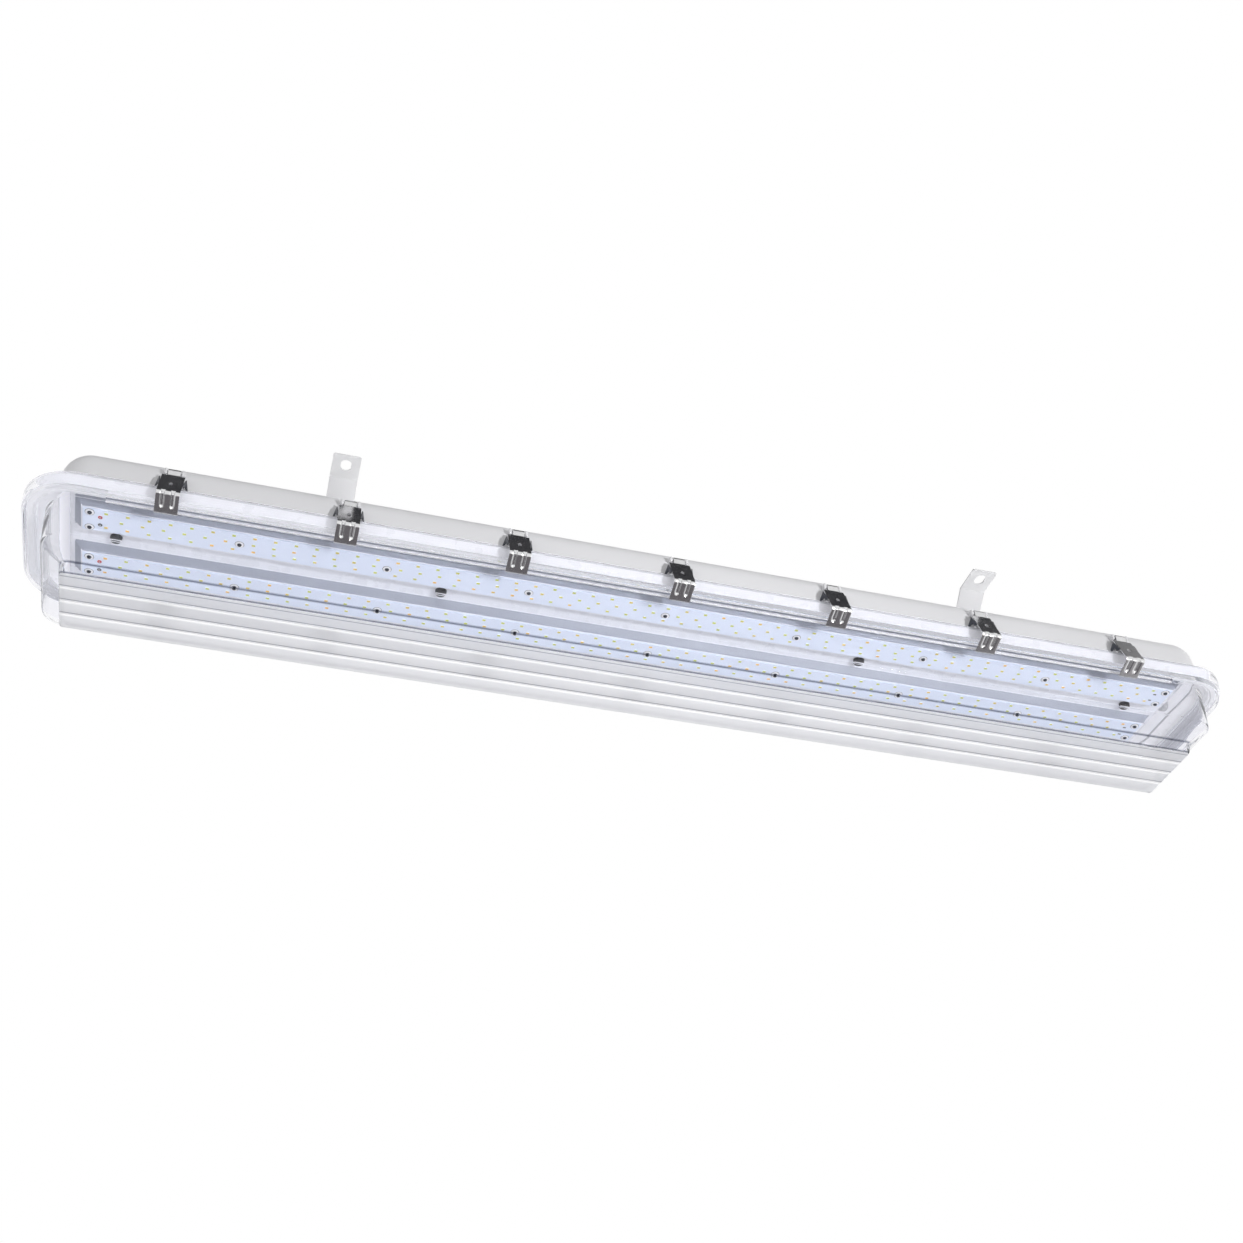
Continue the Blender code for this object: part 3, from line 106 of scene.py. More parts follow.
class FixtureColours(PropertyGroup):
    """Colours of the finished pieces."""

    canopy: colour_property("Canopy", "Moulded light grey", (0.69, 0.69, 0.71))
    lens: colour_property("Lens", "Clear plastic", (0.945, 0.945, 0.972))
    gasket: colour_property("Gasket", "Soft white silicone", (0.58, 0.58, 0.59))
    tray: colour_property("Tray", "White paint on sheet", (0.88, 0.89, 0.93))
    # The pan walls' colour is painted shade: a darker tray paint that stands in for the shade on them
    tray_wall_shade: colour_property("Tray Side", "Shaded paint of the pan walls", (0.35, 0.37, 0.425))
    board: colour_property("Board", "White solder mask", (0.76, 0.82, 0.94))
    phosphor: colour_property("Phosphor", "Yellow of the LED windows", (0.80, 0.62, 0.12))
    steel: colour_property("Steel", "Polished stainless", (0.74, 0.74, 0.75))
    strap: colour_property("Strap", "Near white coated steel", (0.70, 0.70, 0.715))
    dark: colour_property("Dark", "Black moulded parts", (0.03, 0.03, 0.035))


def sizes():
    return bpy.context.scene.fixture_sizes


def colours():
    return bpy.context.scene.fixture_colours


# Node groups and materials

FINISH_INPUTS = {"Vector": "Vector", "Colour": "Color", "Shade": "Color", "Gloss": "Float"}
FINISH_OUTPUTS = {"Colour": "Color", "Roughness": "Float", "Height": "Float"}
MIX_FIRST, MIX_SECOND, MIX_RESULT = 6, 7, 2
RELIEF = 0.2 * MM
WHITE = (1.0, 1.0, 1.0)


def fill(tree, node, values):
    """Link a node's inputs to other nodes' outputs, or set them to plain values."""
    for label, value in values.items():
        if isinstance(value, NodeSocket):
            tree.links.new(value, node.inputs[label])
        else:
            node.inputs[label].default_value = value


def add_node(tree, kind, values):
    """Add a node and give back its outputs."""
    node = tree.nodes.new(kind)
    fill(tree, node, values)
    return node.outputs


def noise(tree, vector, scale, detail=4.0, roughness=0.55):
    values = {"Vector": vector, "Scale": scale, "Detail": detail, "Roughness": roughness}
    return add_node(tree, "ShaderNodeTexNoise", values)["Fac"]


def spread(tree, value, low, high, new_low, new_high):
    """Map a value from one range to another, held at its ends."""
    labels = ("Value", "From Min", "From Max", "To Min", "To Max")
    values = dict(zip(labels, (value, low, high, new_low, new_high)))
    return add_node(tree, "ShaderNodeMapRange", values)["Result"]


def blend(tree, factor, first, second):
    node = tree.nodes.new("ShaderNodeMix")
    node.data_type = "RGBA"
    fill(tree, node, {"Factor": factor})
    for socket, value in ((MIX_FIRST, first), (MIX_SECOND, second)):
        linked = isinstance(value, NodeSocket)
        fill(tree, node, {socket: value if linked else (*value, 1.0)})
    return node.outputs[MIX_RESULT]


def maths(tree, operation, first, second=0.0):
    node = tree.nodes.new("ShaderNodeMath")
    node.operation = operation
    fill(tree, node, {0: first, 1: second})
    return node.outputs[0]


def mix_shaders(tree, factor, first, second):
    return add_node(tree, "ShaderNodeMixShader", {0: factor, 1: first, 2: second})["Shader"]


def finish_group(name):
    """A node group with a finish's sockets; gives back its tree, what it is given and its end."""
    made = bpy.data.node_groups.new(name, "ShaderNodeTree")
    for direction, sockets in (("INPUT", FINISH_INPUTS), ("OUTPUT", FINISH_OUTPUTS)):
        for label, kind in sockets.items():
            made.interface.new_socket(label, in_out=direction, socket_type="NodeSocket" + kind)
    return made, made.nodes.new("NodeGroupInput").outputs, made.nodes.new("NodeGroupOutput")


def moulded_group():
    """Fine grain of a moulded or painted face, with broad, faint changes of tone."""
    found = bpy.data.node_groups.get("Moulded Finish")
    if found:
        return found
    made, given, end = finish_group("Moulded Finish")
    place = given["Vector"]
    broad = spread(made, noise(made, place, 9.0, 3.0), 0.35, 0.75, 0.0, 0.35)
    wander = spread(made, noise(made, place, 60.0, 3.0), 0.3, 0.7, -0.05, 0.05)
    colour = blend(made, broad, given["Colour"], given["Shade"])
    roughness = maths(made, "ADD", given["Gloss"], wander)
    fill(made, end, {"Colour": colour, "Roughness": roughness, "Height": noise(made, place, 900.0, 2.0)})
    return made


def brushed_group():
    """Fine lines drawn along one axis, with smudges, for sheet metal."""
    found = bpy.data.node_groups.get("Brushed Finish")
    if found:
        return found
    made, given, end = finish_group("Brushed Finish")
    stretch = {"Vector": given["Vector"], "Scale": (60.0, 900.0, 900.0)}
    lines = noise(made, add_node(made, "ShaderNodeMapping", stretch)["Vector"], 3.0, 3.0, 0.6)
    smudge = noise(made, given["Vector"], 70.0)
    tone = spread(made, smudge, 0.35, 0.75, 0.0, 0.6)
    wander = spread(made, maths(made, "ADD", lines, smudge), 0.7, 1.3, -0.05, 0.08)
    colour = blend(made, tone, given["Colour"], given["Shade"])
    roughness = maths(made, "ADD", given["Gloss"], wander)
    fill(made, end, {"Colour": colour, "Roughness": roughness, "Height": lines})
    return made


def new_material(name):
    """A new Principled material, its node tree and its shader."""
    made = bpy.data.materials.new(name)
    made.use_nodes = True
    return made, made.node_tree, made.node_tree.nodes["Principled BSDF"]


def object_place(tree):
    return add_node(tree, "ShaderNodeTexCoord", {})["Object"]


def finished_material(name, group, colour, shade, gloss, metallic=0.0, bump=0.1, coat=0.0, glow=0.0):
    """A Principled material round a finish group; its shade is a colour or a share of the first one."""
    found = bpy.data.materials.get(name)
    if found:
        return found
    made, tree, shader = new_material(name)
    if isinstance(shade, float):
        shade = [channel * shade for channel in colour]
    finish = tree.nodes.new("ShaderNodeGroup")
    finish.node_tree = group
    tones = {"Colour": (*colour, 1.0), "Shade": (*shade, 1.0)}
    fill(tree, finish, {"Vector": object_place(tree), "Gloss": gloss, **tones})
    relief = {"Strength": bump, "Distance": RELIEF, "Height": finish.outputs["Height"]}
    normal = add_node(tree, "ShaderNodeBump", relief)["Normal"]
    tone = finish.outputs["Colour"]
    fill(tree, shader, {"Base Color": tone, "Roughness": finish.outputs["Roughness"], "Normal": normal})
    fill(tree, shader, {"Metallic": metallic, "Coat Weight": coat})
    # A painted glow: the surface gives off light in its own colour, though it is no lamp
    if glow:
        fill(tree, shader, {"Emission Color": tone, "Emission Strength": glow})
    return made


def moulded(name, colour, shade, gloss, **looks):
    return finished_material(name, moulded_group(), colour, shade, gloss, **looks)


def brushed(name, colour, shade, gloss, **looks):
    return finished_material(name, brushed_group(), colour, shade, gloss, **looks)


def canopy_material():
    return moulded("canopy_moulding", colours().canopy, 0.93, 0.38, bump=0.12)


# The rim seen through the clear flange has a painted glow that lightens the shadows on it
def rim_material():
    return moulded("rim_moulding_painted_glow", (0.57, 0.57, 0.585), 0.96, 0.3, bump=0.0, glow=0.45)


# The canopy's inside has a painted glow that stands in for light coming through the thin wall
def canopy_inside_material():
    return moulded("canopy_inside_painted_glow", colours().canopy, 0.93, 0.38, bump=0.0, glow=0.5)


# The gasket's glow is painted light that lightens the shadows on it behind the clear flange
def gasket_material():
    return moulded("gasket_silicone_painted_glow", colours().gasket, 0.95, 0.65, bump=0.0, glow=0.5)


def tray_material():
    return moulded("tray_paint", colours().tray, 0.96, 0.28, bump=0.05, coat=0.3)


def tray_wall_painted_shade_material():
    """Painted shade on the pressed walls and ends of the pans: a darker copy of the tray's paint."""
    return moulded("tray_wall_painted_shade", colours().tray_wall_shade, 0.94, 0.4, bump=0.05)


def board_material():
    return moulded("board_mask", colours().board, 0.97, 0.35, bump=0.04)


def steel_material():
    return brushed("latch_steel", colours().steel, 0.8, 0.16, metallic=1.0, bump=0.08)


def screw_material():
    return brushed("screw_steel", colours().steel, 0.7, 0.25, metallic=1.0, bump=0.05)


def dark_steel_material():
    return brushed("blackened_steel", (0.05, 0.055, 0.07), (0.02, 0.02, 0.03), 0.3, metallic=0.6)


def strap_material():
    return moulded("strap_coating", colours().strap, 0.95, 0.35, bump=0.08)


# The ears' paler coat is painted light, for faces lit from below
def strap_ear_painted_light_material():
    return moulded("strap_ear_painted_light", (0.88, 0.88, 0.89), (0.84, 0.84, 0.85), 0.35, bump=0.08)


def dark_material():
    return moulded("dark_moulding", colours().dark, 0.7, 0.42)


def white_material():
    return moulded("white_moulding", (0.86, 0.86, 0.87), (0.8, 0.8, 0.82), 0.4, bump=0.05)


def gland_material():
    return moulded("gland_moulding", (0.70, 0.70, 0.71), (0.64, 0.64, 0.66), 0.45)


def driver_material():
    return moulded("driver_paint", (0.8, 0.8, 0.8), (0.74, 0.74, 0.75), 0.4)


def terminal_material():
    return moulded("terminal_moulding", (0.84, 0.83, 0.78), (0.78, 0.76, 0.7), 0.45)


def red_material():
    return moulded("red_insulation", (0.55, 0.03, 0.03), (0.45, 0.02, 0.02), 0.4)


def black_material():
    return moulded("black_insulation", (0.02, 0.02, 0.02), (0.01, 0.01, 0.01), 0.4)


def solder_material():
    return brushed("pad_solder", (0.6, 0.6, 0.62), (0.5, 0.5, 0.52), 0.3, metallic=1.0)


def phosphor_material():
    """The LED windows: each package has its own tint, from green yellow to orange."""
    found = bpy.data.materials.get("led_phosphor")
    if found:
        return found
    made, tree, shader = new_material("led_phosphor")
    place = object_place(tree)
    tint = spread(tree, noise(tree, place, 55.0, 1.0), 0.46, 0.66, 0.0, 1.0)
    soft = spread(tree, noise(tree, place, 700.0, 2.0), 0.3, 0.7, 0.0, 0.25)
    colour = blend(tree, tint, (0.55, 0.66, 0.12), (0.90, 0.52, 0.12))
    tone = blend(tree, soft, colour, colours().phosphor)
    fill(tree, shader, {"Base Color": tone, "Roughness": 0.3})
    return made


LENS_INDEX, LENS_SHADOW, EDGE_PAINTED_SHADE = 1.25, (0.76, 0.77, 0.79), (0.08, 0.09, 0.13)
DEEP_BOUNCES = 5.5
# Heights of the lens's painted dark edge lines, which stand in for refraction's darkening at its moulded
# edges, each with half its width
SKIRT_LINE, RIDGE_LINE, FOOT_LINE = mm(-47.3, 1.1), mm(-120.5, 1.3), mm(-127.4, 0.9)
RIDGE_X, RIDGE_Y = mm(577.9, 47.4)
SKIRT_FOOT, LENS_END = mm(-60, -58), mm(560, 600)
FINE_PITCH, FINE_WIDTH = mm(1.5, 0.9)

RIB_PITCH, RIB_LINE_SHIFT = mm(10, 3.3)
RIB_SIDE, RIB_LINE_SIDE, RIBS_END = mm(1.6, 2.6), mm(0.3, 1.1), mm(27, 28)
BOTTOM_EDGE = mm(-36.6, 1.0)
# Painted light on the ribbed bottom: white glowing highlights on the crests, dark painted shade in the lines
BAND_TONE, RIB_LINE_PAINTED_SHADE = (0.89, 0.895, 0.92), (0.22, 0.22, 0.27)
BAND_PAINTED_GLOW, CREST_PAINTED_HIGHLIGHT = (0.03, 0.03, 0.03), (0.16, 0.16, 0.16)


def near_level(tree, value, level, half):
    """1 where a coordinate is within a distance of one level, falling to 0 at its edge."""
    away = maths(tree, "ABSOLUTE", maths(tree, "SUBTRACT", value, level))
    return spread(tree, away, half * 0.2, half, 1.0, 0.0)


def clear_plastic(name, transmission):
    """A see-through material that shadow rays and deep rays pass straight through, and its coordinates."""
    made, tree, shader = new_material(name)
    fill(tree, shader, {"Transmission Weight": transmission, "IOR": LENS_INDEX})
    path = add_node(tree, "ShaderNodeLightPath", {})
    deep = maths(tree, "GREATER_THAN", path["Ray Depth"], DEEP_BOUNCES)
    straight = maths(tree, "MAXIMUM", path["Is Shadow Ray"], deep)
    clear = add_node(tree, "ShaderNodeBsdfTransparent", {"Color": (*LENS_SHADOW, 1.0)})["BSDF"]
    surface = mix_shaders(tree, straight, shader.outputs["BSDF"], clear)
    fill(tree, tree.nodes["Material Output"], {"Surface": surface})
    place = object_place(tree)
    return made, tree, shader, place, add_node(tree, "ShaderNodeSeparateXYZ", {"Vector": place})


def lens_material():
    """Clear plastic with painted shade: dark lines along its moulded edges stand in for refraction's
    darkening, and fine darker lines run along the skirt.
    """
    made, tree, shader, place, parts = clear_plastic("lens_clear", 1.0)
    level = parts["Z"]
    far_x = maths(tree, "ABSOLUTE", parts["X"])
    long_side = maths(tree, "GREATER_THAN", maths(tree, "ABSOLUTE", parts["Y"]), RIDGE_Y)
    outside = maths(tree, "MAXIMUM", long_side, maths(tree, "GREATER_THAN", far_x, RIDGE_X))
    end_share = spread(tree, far_x, *LENS_END, 0.45, 0.08)
    rim = maths(tree, "MULTIPLY", near_level(tree, level, *SKIRT_LINE), end_share)
    ridge = maths(tree, "MULTIPLY", near_level(tree, level, *RIDGE_LINE), outside)
    foot = near_level(tree, level, *FOOT_LINE)
    fine = spread(tree, maths(tree, "PINGPONG", level, FINE_PITCH), 0.0, FINE_WIDTH, 0.08, 0.0)
    skirt = spread(tree, level, *SKIRT_FOOT, 0.0, 1.0)
    marks = maths(tree, "MAXIMUM", maths(tree, "MULTIPLY", fine, skirt), rim)
    edges = maths(tree, "MAXIMUM", marks, maths(tree, "MAXIMUM", ridge, foot))
    worn = spread(tree, noise(tree, place, 14.0, 3.0), 0.35, 0.7, 0.0, 0.008)
    # Painted shade: dark lines stand in for the darkening that refraction gives along the moulded edges
    tone = blend(tree, edges, colours().lens, EDGE_PAINTED_SHADE)
    fill(tree, shader, {"Base Color": tone, "Roughness": worn})
    return made


def ribbed_material():
    """The milky lens bottom: painted highlights make each rib white and glowing, with painted shade in a thin
    dark line beside it and along the bottom's edge, between faintly glowing pale bands.
    """
    made, tree, shader, place, parts = clear_plastic("lens_ribbed", 0.45)
    across = parts["Y"]
    ribs = spread(tree, maths(tree, "PINGPONG", across, RIB_PITCH), *RIB_SIDE, 1.0, 0.0)
    beside = maths(tree, "PINGPONG", maths(tree, "ADD", across, RIB_LINE_SHIFT), RIB_PITCH)
    lines = spread(tree, beside, *RIB_LINE_SIDE, 0.8, 0.0)
    inner = spread(tree, maths(tree, "ABSOLUTE", across), *RIBS_END, 1.0, 0.0)
    edge = maths(tree, "MULTIPLY", near_level(tree, across, *BOTTOM_EDGE), 0.8)
    painted_highlight_crests = maths(tree, "MULTIPLY", ribs, inner)
    painted_dark_lines = maths(tree, "MAXIMUM", maths(tree, "MULTIPLY", lines, inner), edge)
    # Painted highlights on the crests and painted shade in the dark lines
    tone = blend(tree, painted_dark_lines, blend(tree, painted_highlight_crests, BAND_TONE, WHITE), RIB_LINE_PAINTED_SHADE)
    frosted = spread(tree, noise(tree, place, 14.0, 3.0), 0.35, 0.7, 0.4, 0.46)
    glow = blend(tree, painted_highlight_crests, BAND_PAINTED_GLOW, CREST_PAINTED_HIGHLIGHT)
    fill(tree, shader, {"Base Color": tone, "Roughness": frosted})
    fill(tree, shader, {"Emission Color": glow, "Emission Strength": 1.0})
    return made


# Shapes


def move(bm, verts, x=0.0, y=0.0, z=0.0):
    bmesh.ops.translate(bm, vec=(x, y, z), verts=verts)


def face_out(bm):
    bmesh.ops.recalc_face_normals(bm, faces=bm.faces)


def only(kind, items):
    return [item for item in items if isinstance(item, kind)]


def soften(bm, geom, width, segments=2, affect="EDGES"):
    bmesh.ops.bevel(
        bm,
        geom=geom,
        offset=width,
        offset_type="OFFSET",
        segments=segments,
        profile=0.5,
        affect=affect,
        clamp_overlap=affect == "EDGES",
        material=-1,
    )


def flat_sheet(bm, half_length, half_width, z):
    """One rectangle at a height; gives back its corners."""
    corners = bmesh.ops.create_grid(bm, x_segments=1, y_segments=1, size=1.0)["verts"]
    bmesh.ops.scale(bm, vec=(half_length, half_width, 1.0), verts=corners)
    move(bm, corners, z=z)
    return corners


def rounded_ring(bm, half_length, half_width, radius, z):
    """The edges of one rounded rectangle at a height."""
    known = set(bm.edges)
    corners = flat_sheet(bm, half_length, half_width, z)
    soften(bm, corners, radius, sizes().corner_steps, "VERTICES")
    edges = [edge for edge in bm.edges if edge not in known]
    faces = list({face for edge in edges for face in edge.link_faces})
    bmesh.ops.delete(bm, geom=faces, context="FACES_ONLY")
    return edges


def inset(size, side, z):
    """The same rounded rectangle drawn in by one distance, at another height."""
    half_length, half_width, radius, _ = size
    return (half_length - side, half_width - side, max(radius - side, LEAST_RADIUS), z)


def loft(bm, rings):
    """Faces through a row of rings, held apart while they are joined; gives back each ring's edges."""
    loops = []
    for index, (half_length, half_width, radius, _) in enumerate(rings):
        loops.append(rounded_ring(bm, half_length, half_width, radius, index * STACK_GAP))
    for low, high in zip(loops, loops[1:]):
        bmesh.ops.bridge_loops(bm, edges=low + high)
    for index, (loop, size) in enumerate(zip(loops, rings)):
        verts = list({vert for edge in loop for vert in edge.verts})
        move(bm, verts, z=size[3] - index * STACK_GAP)
    return loops


def cut_across(bm, axis, places, wanted=None):
    """Split all faces, or only the wanted ones, along lines square to one axis."""
    normal = Vector((0.0, 0.0, 0.0))
    normal[axis] = 1.0
    for place in places:
        faces = [face for face in bm.faces if wanted is None or wanted(face)]
        edges = [edge for face in faces for edge in face.edges]
        verts = [vert for face in faces for vert in face.verts]
        geom = list(dict.fromkeys(verts + edges + faces))
        bmesh.ops.bisect_plane(bm, geom=geom, plane_co=normal * place, plane_no=normal, dist=WELD)


def cap(bm, loop):
    return bmesh.ops.contextual_create(bm, geom=loop)["faces"][0]


def slab(bm, x, y, half, levels, width=0.0, segments=1):
    """A block by its middle, its half length and width and its two heights, with its edges softened."""
    made = bmesh.ops.create_cube(bm, size=1.0)["verts"]
    bmesh.ops.scale(bm, vec=(2 * half[0], 2 * half[1], levels[1] - levels[0]), verts=made)
    move(bm, made, x, y, sum(levels) / 2)
    if width:
        soften(bm, list({edge for vert in made for edge in vert.link_edges}), width, segments)


def rod(bm, radius, start, end, segments, end_radius=None, width=0.0):
    """A closed round bar between two points, with softened rims."""
    start, end = Vector(start), Vector(end)
    run = end - start
    turn = Vector((0, 0, 1)).rotation_difference(run).to_matrix().to_4x4()
    made = bmesh.ops.create_cone(
        bm,
        cap_ends=True,
        segments=segments,
        radius1=radius,
        radius2=radius if end_radius is None else end_radius,
        depth=run.length,
        matrix=Matrix.Translation((start + end) / 2) @ turn,
    )["verts"]
    if width:
        faces = {face for vert in made for face in vert.link_faces if len(face.verts) > 4}
        soften(bm, list({edge for face in faces for edge in face.edges}), width)


def stud(bm, x, y, level, shape):
    """An upright rod, from a row of its ends over a level, its radii, its rounding and its faces round."""
    start, end, radius, end_radius, width, segments = shape
    start, end = (x, y, level + start * MM), (x, y, level + end * MM)
    rod(bm, radius * MM, start, end, segments, end_radius * MM, width * MM)


def new_mesh(name, bm):
    """A mesh made from the faces, which must be there."""
    if not bm.faces:
        raise RuntimeError("no faces were made for " + name)
    mesh = bpy.data.meshes.new(name)
    bm.to_mesh(mesh)
    bm.free()
    return mesh


def add_object(name, data):
    made = bpy.data.objects.new(name, data)
    bpy.context.scene.collection.objects.link(made)
    return made


def add_piece(name, bm, materials, replaced=(), body="fixture", smooth=32.0):
    """Make the mesh one object at the origin that rides on a body."""
    mesh = new_mesh(name, bm)
    for material in materials:
        mesh.materials.append(material)
    mesh.shade_smooth()
    mesh.set_sharp_from_angle(angle=math.radians(smooth))
    piece = add_object(name, mesh)
    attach(piece, body)
    if replaced:
        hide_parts(*replaced)
    return piece


def bevel_modifier(piece, width, angle):
    rounding = piece.modifiers.new("rounded edges", "BEVEL")
    rounding.width = width
    rounding.segments = 2
    rounding.limit_method = "ANGLE"
    rounding.angle_limit = math.radians(angle)


def sheet_modifier(piece, thickness):
    wall = piece.modifiers.new("sheet", "SOLIDIFY")
    wall.thickness = thickness
    wall.offset = 0.0


def node_copy(node):
    """The node's own faces, joined and with its flat faces whole."""
    bm = bmesh.new()
    bm.from_mesh(frame["nodes"][node].data)
    bmesh.ops.remove_doubles(bm, verts=bm.verts, dist=2 * WELD)
    bmesh.ops.dissolve_limit(bm, angle_limit=math.radians(0.5), verts=bm.verts, edges=bm.edges)
    return bm


def dress_node(node, material):
    """Give a CAD node that stays its finished material."""
    piece = frame["nodes"][node]
    piece.data.materials.clear()
    piece.data.materials.append(material)


def joint_xs(start):
    """The X of every joint whose name has this start, by name."""
    found = {joint["name"]: joint["pos_m"][0] for joint in frame["joints"] if joint["name"].startswith(start)}
    if not found:
        raise RuntimeError("no joint's name starts with " + start)
    return found


def latch_xs():
    return [x for _, x in sorted(joint_xs("latch_near").items())]


# The moulded pieces

FLANGE = (*mm(628, 88, 48.6), JOINT)
RIM = (*mm(625.2, 85.2, 45.8), JOINT)
BODY = (*mm(600, 81, 30), JOINT)
LENS_TOP = (*mm(604.5, 72.0, 28.0), JOINT)
LENS_SHOULDER = (*mm(600.1, 69.7, 23.1), JOINT)
LENS_RIDGE = (*mm(579.5, 48.9, 8.0), JOINT)
END_CUT = 560 * MM

# Profiles in mm: how far in from the outline, and how far up from the joint
CANOPY_WALL = ((0.1, 2.2), (0.4, 2.0), (1.6, 1.9), (1.6, 0.5))
CANOPY_RIM = (
    (0.5, 0.5), (0, 0), (0, -12.1), (0.4, -12.5), (2.2, -12.5), (2.5, -12.2), (2.5, -2.5), (9.0, -2.5),
    (9.0, -12.2), (9.3, -12.5), (11.2, -12.5), (11.5, -12.2), (11.5, -2.5),
)
CANOPY_INNER_WALL = ((3.0, 0.5),)
GASKET = ((2.8, -2.8), (2.8, -12.3), (3.6, -13.1), (7.9, -13.1), (8.7, -12.3), (8.7, -2.8))
SKIRT = (
    (0.35, 0), (0, -0.35), (0.5, -11.8), (0.9, -12.5), (1.4, -14.6), (3.4, -18.6), (4.2, -19.0),
    (5.0, -18.4), (6.3, -16.2),
)
SHOULDER = ((-0.05, -58.4), (0.05, -59.1), (0.5, -59.8))
RIDGE = ((-0.6, -73.9), (0.2, -74.6), (0.6, -75.4))
FLANGE_INSIDE = ((1.9, 0), (2.2, -0.3), (2.2, -13.0), (2.6, -13.4))

# Rings in mm: half length, half width, corner radius, and how far up from the joint
CANOPY_MOUTH = ((596.4, 73.1, 27, -2.5), (596.4, 73.1, 27, 0.5))
LENS_LEDGE = (
    (616.5, 81.5, 42, -16.2), (612, 77, 37.5, -16.2), (606, 73.4, 29.5, -16.2), (604.9, 72.4, 28.5, -16.6),
)
LENS_MOUTH = ((603.2, 70.7, 26.7, -13.4), (602.2, 69.7, 25.7, -14.4))
LENS_FOOT = ((579.2, 42.0, 3.6, -80.7), (578.5, 40.1, 3.0, -82.3))

BACK_FLAT, BACK_STEPS = 34 * MM, 8
# Each rounding of the back: radius, how far in, and height
BACK_OUTSIDE, BACK_INSIDE = mm(25, 1.5, 0), mm(22, 4.5, -3)
# The canopy's rings where the rim's material and the inside's begin; both carry a painted glow
RIM_FIRST, INSIDE_FIRST = 13, 28

HINGE_Y, HINGE_Z = 83.4 * MM, JOINT + 24.4 * MM
LUG_X, LUG_Y, LUG_ROUNDING = mm(8, 81.6, 1.2)
LUG_HALF = mm(1.6, 4)
LUG_LEVELS = (HINGE_Z - 3.6 * MM, HINGE_Z + 3.2 * MM)
BAR_RADIUS, BAR_HALF = mm(1.2, 7)

LENS_TOP_LEVEL, RAIL_LEVEL = JOINT - 17.6 * MM, JOINT - 16.2 * MM
WALL_RISE = 0.76
RAIL_DEPTH, RAIL_ROUNDING, RAIL_INNER, RAIL_OUTER, RAIL_END = mm(5.6, 0.7, 76.9, 81.6, 550)
GROOVES = mm(-20, 0, 20)
GROOVE_ROWS = ((-1.0, 0.0), (-0.6, 0.64), (-0.2, 0.96), (0.2, 0.96), (0.6, 0.64), (1.0, 0.0))
ROW_REACH = 0.02 * MM


def profile(outline, rows, drawn_in=0.0, rise=0.0):
    """Rings inset from one outline by the rows of a profile."""
    return [inset(outline, drawn_in + side * MM, JOINT + rise + up * MM) for side, up in rows]


def measured(rows):
    """Rings with a length, width and radius of their own."""
    return [(*mm(*row[:3]), JOINT + row[3] * MM) for row in rows]


def rounded_back(radius, side, top):
    """The quarter round of the canopy's back, from its flat top down to its wall."""
    rings = []
    for step in range(BACK_STEPS + 1):
        angle = math.pi / 2 * step / BACK_STEPS
        down = radius * (1 - math.cos(angle))
        rings.append(inset(BODY, side + radius * (1 - math.sin(angle)), top - down))
    return rings


def canopy_rings():
    """The canopy from the middle of its back, out over the rim and back up inside."""
    rings = [inset(BODY, BACK_FLAT, 0.0)] + rounded_back(*BACK_OUTSIDE)
    rings += profile(BODY, CANOPY_WALL) + profile(RIM, CANOPY_RIM)
    rings += measured(CANOPY_MOUTH) + profile(BODY, CANOPY_INNER_WALL)
    return rings + rounded_back(*BACK_INSIDE)[::-1]


def add_lug(bm, x, side):
    """Two rounded cheeks and the bar that a latch turns on."""
    for end in SIDES:
        slab(bm, x + end * LUG_X, side * LUG_Y, LUG_HALF, LUG_LEVELS, LUG_ROUNDING, 3)
    start, end = ((x + way * BAR_HALF, side * HINGE_Y, HINGE_Z) for way in SIDES)
    rod(bm, BAR_RADIUS, start, end, 14)


def between(bm, loops):
    """The faces that lie between the first and last of a run of rings."""
    verts = {vert for loop in loops for edge in loop for vert in edge.verts}
    return [face for face in bm.faces if all(vert in verts for vert in face.verts)]


def build_canopy():
    bm = bmesh.new()
    loops = loft(bm, canopy_rings())
    cap(bm, loops[0])
    cap(bm, loops[-1])
    # The rim and the inside take materials with a painted glow
    for index, run in ((1, loops[RIM_FIRST:INSIDE_FIRST]), (2, loops[INSIDE_FIRST:])):
        for face in between(bm, run):
            face.material_index = index
    face_out(bm)
    cut_across(bm, 0, (-END_CUT, END_CUT))
    for x in latch_xs():
        for side in SIDES:
            add_lug(bm, x, side)
    materials = [canopy_material(), rim_material(), canopy_inside_material()]
    add_piece("canopy_shell", bm, materials, ["housing"])


def build_gasket():
    bm = bmesh.new()
    rings = profile(RIM, GASKET)
    loft(bm, rings + rings[:1])
    bmesh.ops.remove_doubles(bm, verts=bm.verts, dist=NEAR)
    face_out(bm)
    add_piece("gasket_cord", bm, [gasket_material()], ["gasket"])


def lens_walls(drawn_in):
    """The lens wall's rings from the flange to the bottom, drawn in by a distance for the inside."""
    rise = drawn_in * WALL_RISE
    rings = [inset(LENS_TOP, drawn_in, LENS_TOP_LEVEL + drawn_in)]
    rings += profile(LENS_SHOULDER, SHOULDER, drawn_in, rise)
    rings += profile(LENS_RIDGE, RIDGE, drawn_in, rise)
    for half_length, half_width, radius, level in measured(LENS_FOOT):
        rings.append((half_length - drawn_in, half_width - rise / 2, radius, level + drawn_in))
    return rings


def at_level(face, level, reach=WELD):
    return all(abs(vert.co.z - level) < reach for vert in face.verts)


def on_rail(face):
    """Whether a face of the flange's underside lies where a rail grows."""
    inside = all(RAIL_INNER < abs(vert.co.y) < RAIL_OUTER for vert in face.verts)
    return inside and at_level(face, RAIL_LEVEL, NEAR)


